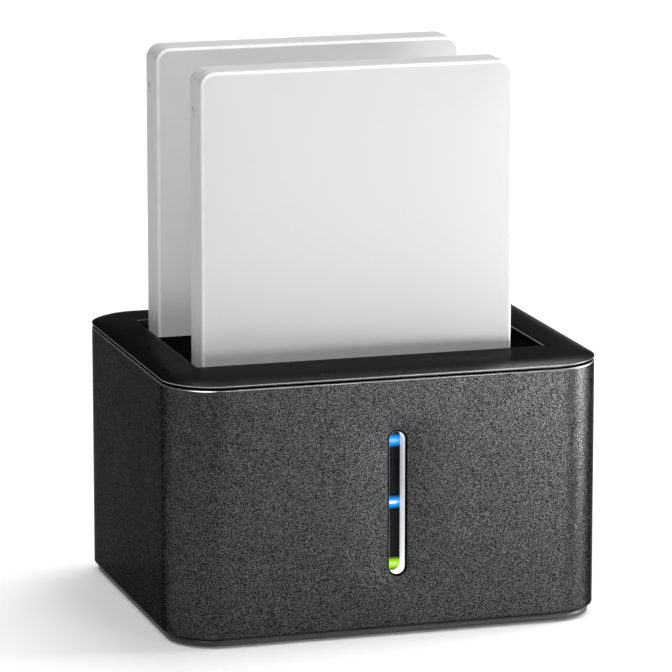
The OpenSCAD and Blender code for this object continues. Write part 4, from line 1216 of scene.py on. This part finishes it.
class DOCK_OT_rear(Operator):
    """Make the power rocker and the copy button on the rear panel"""

    bl_idname = "dock.rear"
    bl_label = "Rocker and button"

    def execute(self, context):
        self.rocker()
        self.button()
        return {"FINISHED"}

    def rocker(self):
        """A rounded block whose face dips in the middle, turned round its pivot; a pin goes through it."""
        joint = next(joint for joint in frame["joints"] if joint["name"] == "power_rock")
        pivot = np.array(joint["pos_m"])
        tilt = -math.radians(0.5 * sum(joint["range_deg"]))
        wide, tall, end, dip, below, edge = 5.2 * MM, 3.25 * MM, 2.5 * MM, 0.7 * MM, 0.8 * MM, 0.3 * MM
        radius = 0.5 * MM
        half = (wide - radius, tall - radius)
        around = even_outline(6, 12)
        top = fillet(radius - edge, end - edge, edge, 0.0, 90.0, 5)
        rows = np.vstack([
            [0.0, 0.0, 0.0, 0.0, -below],
            ring(half, np.vstack([[[radius, -below]], top])),
            ring((0.66 * half[0], 0.66 * half[1]), [[0.66 * (radius - edge), end]]),
            ring((0.33 * half[0], 0.33 * half[1]), [[0.33 * (radius - edge), end]]),
            [0.0, 0.0, 0.0, 0.0, end],
        ])
        points = around.carry(rows)
        face = points[..., 2] > 0.0
        dipped = dip * (1.0 - np.clip(np.abs(points[..., 0]) / wide, 0.0, 1.0) ** 1.6)
        points[..., 2] -= np.where(face, dipped, 0.0)
        pin_low, pin_high = node_box("power_rocker")
        pin = lathe(
            [[0.0, pin_low[2]], [0.8 * MM, pin_low[2]], [0.8 * MM, pin_high[2]], [0.0, pin_high[2]]],
            (pivot[0], pivot[1], 0.0), 24,
        )
        block = facing_back(points)
        turned = np.stack([
            block[..., 0] * math.cos(tilt) - block[..., 1] * math.sin(tilt),
            block[..., 0] * math.sin(tilt) + block[..., 1] * math.cos(tilt), block[..., 2],
        ], axis=-1) + pivot
        make_piece("rocker_key", [grid(turned), grid(pin)], "power_rocker", "switch_black", ["power_rocker"])

    def button(self):
        """A turned cap with a rounded edge and a shallow dish, on a flange."""
        low, high = node_box("copy_button")
        middle = 0.5 * (low + high)
        flange = 0.5 * (high - low)[0]
        cap, edge = 2.5 * MM, 0.35 * MM
        dish = np.linspace(0.86, 0.0, 6)
        profile = np.vstack([
            [[0.0, low[1]], [flange, low[1]], [flange, low[1] + 1.0 * MM], [cap, low[1] + 1.0 * MM]],
            fillet(cap - edge, high[1] - edge, edge, 0.0, 90.0, 6),
            np.column_stack([dish * (cap - edge), high[1] - 0.22 * MM * (1.0 - (dish / 0.86) ** 2)]),
        ])
        points = facing_back(lathe(profile, (0.0, 0.0, 0.0))) + (middle[0], 0.0, middle[2])
        make_piece("copy_key", [grid(points)], "copy_button", "switch_black", ["copy_button"])


class DOCK_PT_panel(Panel):
    """Lists the dock's pieces in the sidebar"""

    bl_label = "Docking station"
    bl_idname = "DOCK_PT_panel"
    bl_space_type = "VIEW_3D"
    bl_region_type = "UI"
    bl_category = "Dock"

    def draw(self, context):
        for operator in OPERATORS:
            self.layout.operator(operator.bl_idname)
        for settings in (context.scene.dock_shape, context.scene.dock_finish, context.scene.dock_stage):
            box = self.layout.box()
            for name in settings.bl_rna.properties.keys():
                if name not in ("rna_type", "name"):
                    box.prop(settings, name)


SETTINGS = {
    "dock_shape": DockShapeSettings,
    "dock_finish": DockFinishSettings,
    "dock_stage": DockStageSettings,
}
OPERATORS = (
    DOCK_OT_stage,
    DOCK_OT_finishes,
    DOCK_OT_sleeve,
    DOCK_OT_cover,
    DOCK_OT_collar,
    DOCK_OT_base,
    DOCK_OT_light,
    DOCK_OT_drives,
    DOCK_OT_rear,
)
CLASSES = (*SETTINGS.values(), *OPERATORS, DOCK_PT_panel)


def register():
    """Registers the classes and hangs the settings on the scene."""
    for cls in CLASSES:
        bpy.utils.register_class(cls)
    for name, cls in SETTINGS.items():
        setattr(bpy.types.Scene, name, PointerProperty(type=cls))


def unregister():
    """Takes the settings and the classes away again."""
    for name in SETTINGS:
        delattr(bpy.types.Scene, name)
    for cls in reversed(CLASSES):
        bpy.utils.unregister_class(cls)


def main():
    """Makes everything in order."""
    register()
    bpy.ops.dock.stage()
    bpy.ops.dock.finishes()
    bpy.ops.dock.sleeve()
    bpy.ops.dock.cover()
    bpy.ops.dock.collar()
    bpy.ops.dock.base()
    bpy.ops.dock.light()
    bpy.ops.dock.drives()
    bpy.ops.dock.rear()


if __name__ == "__main__":
    main()
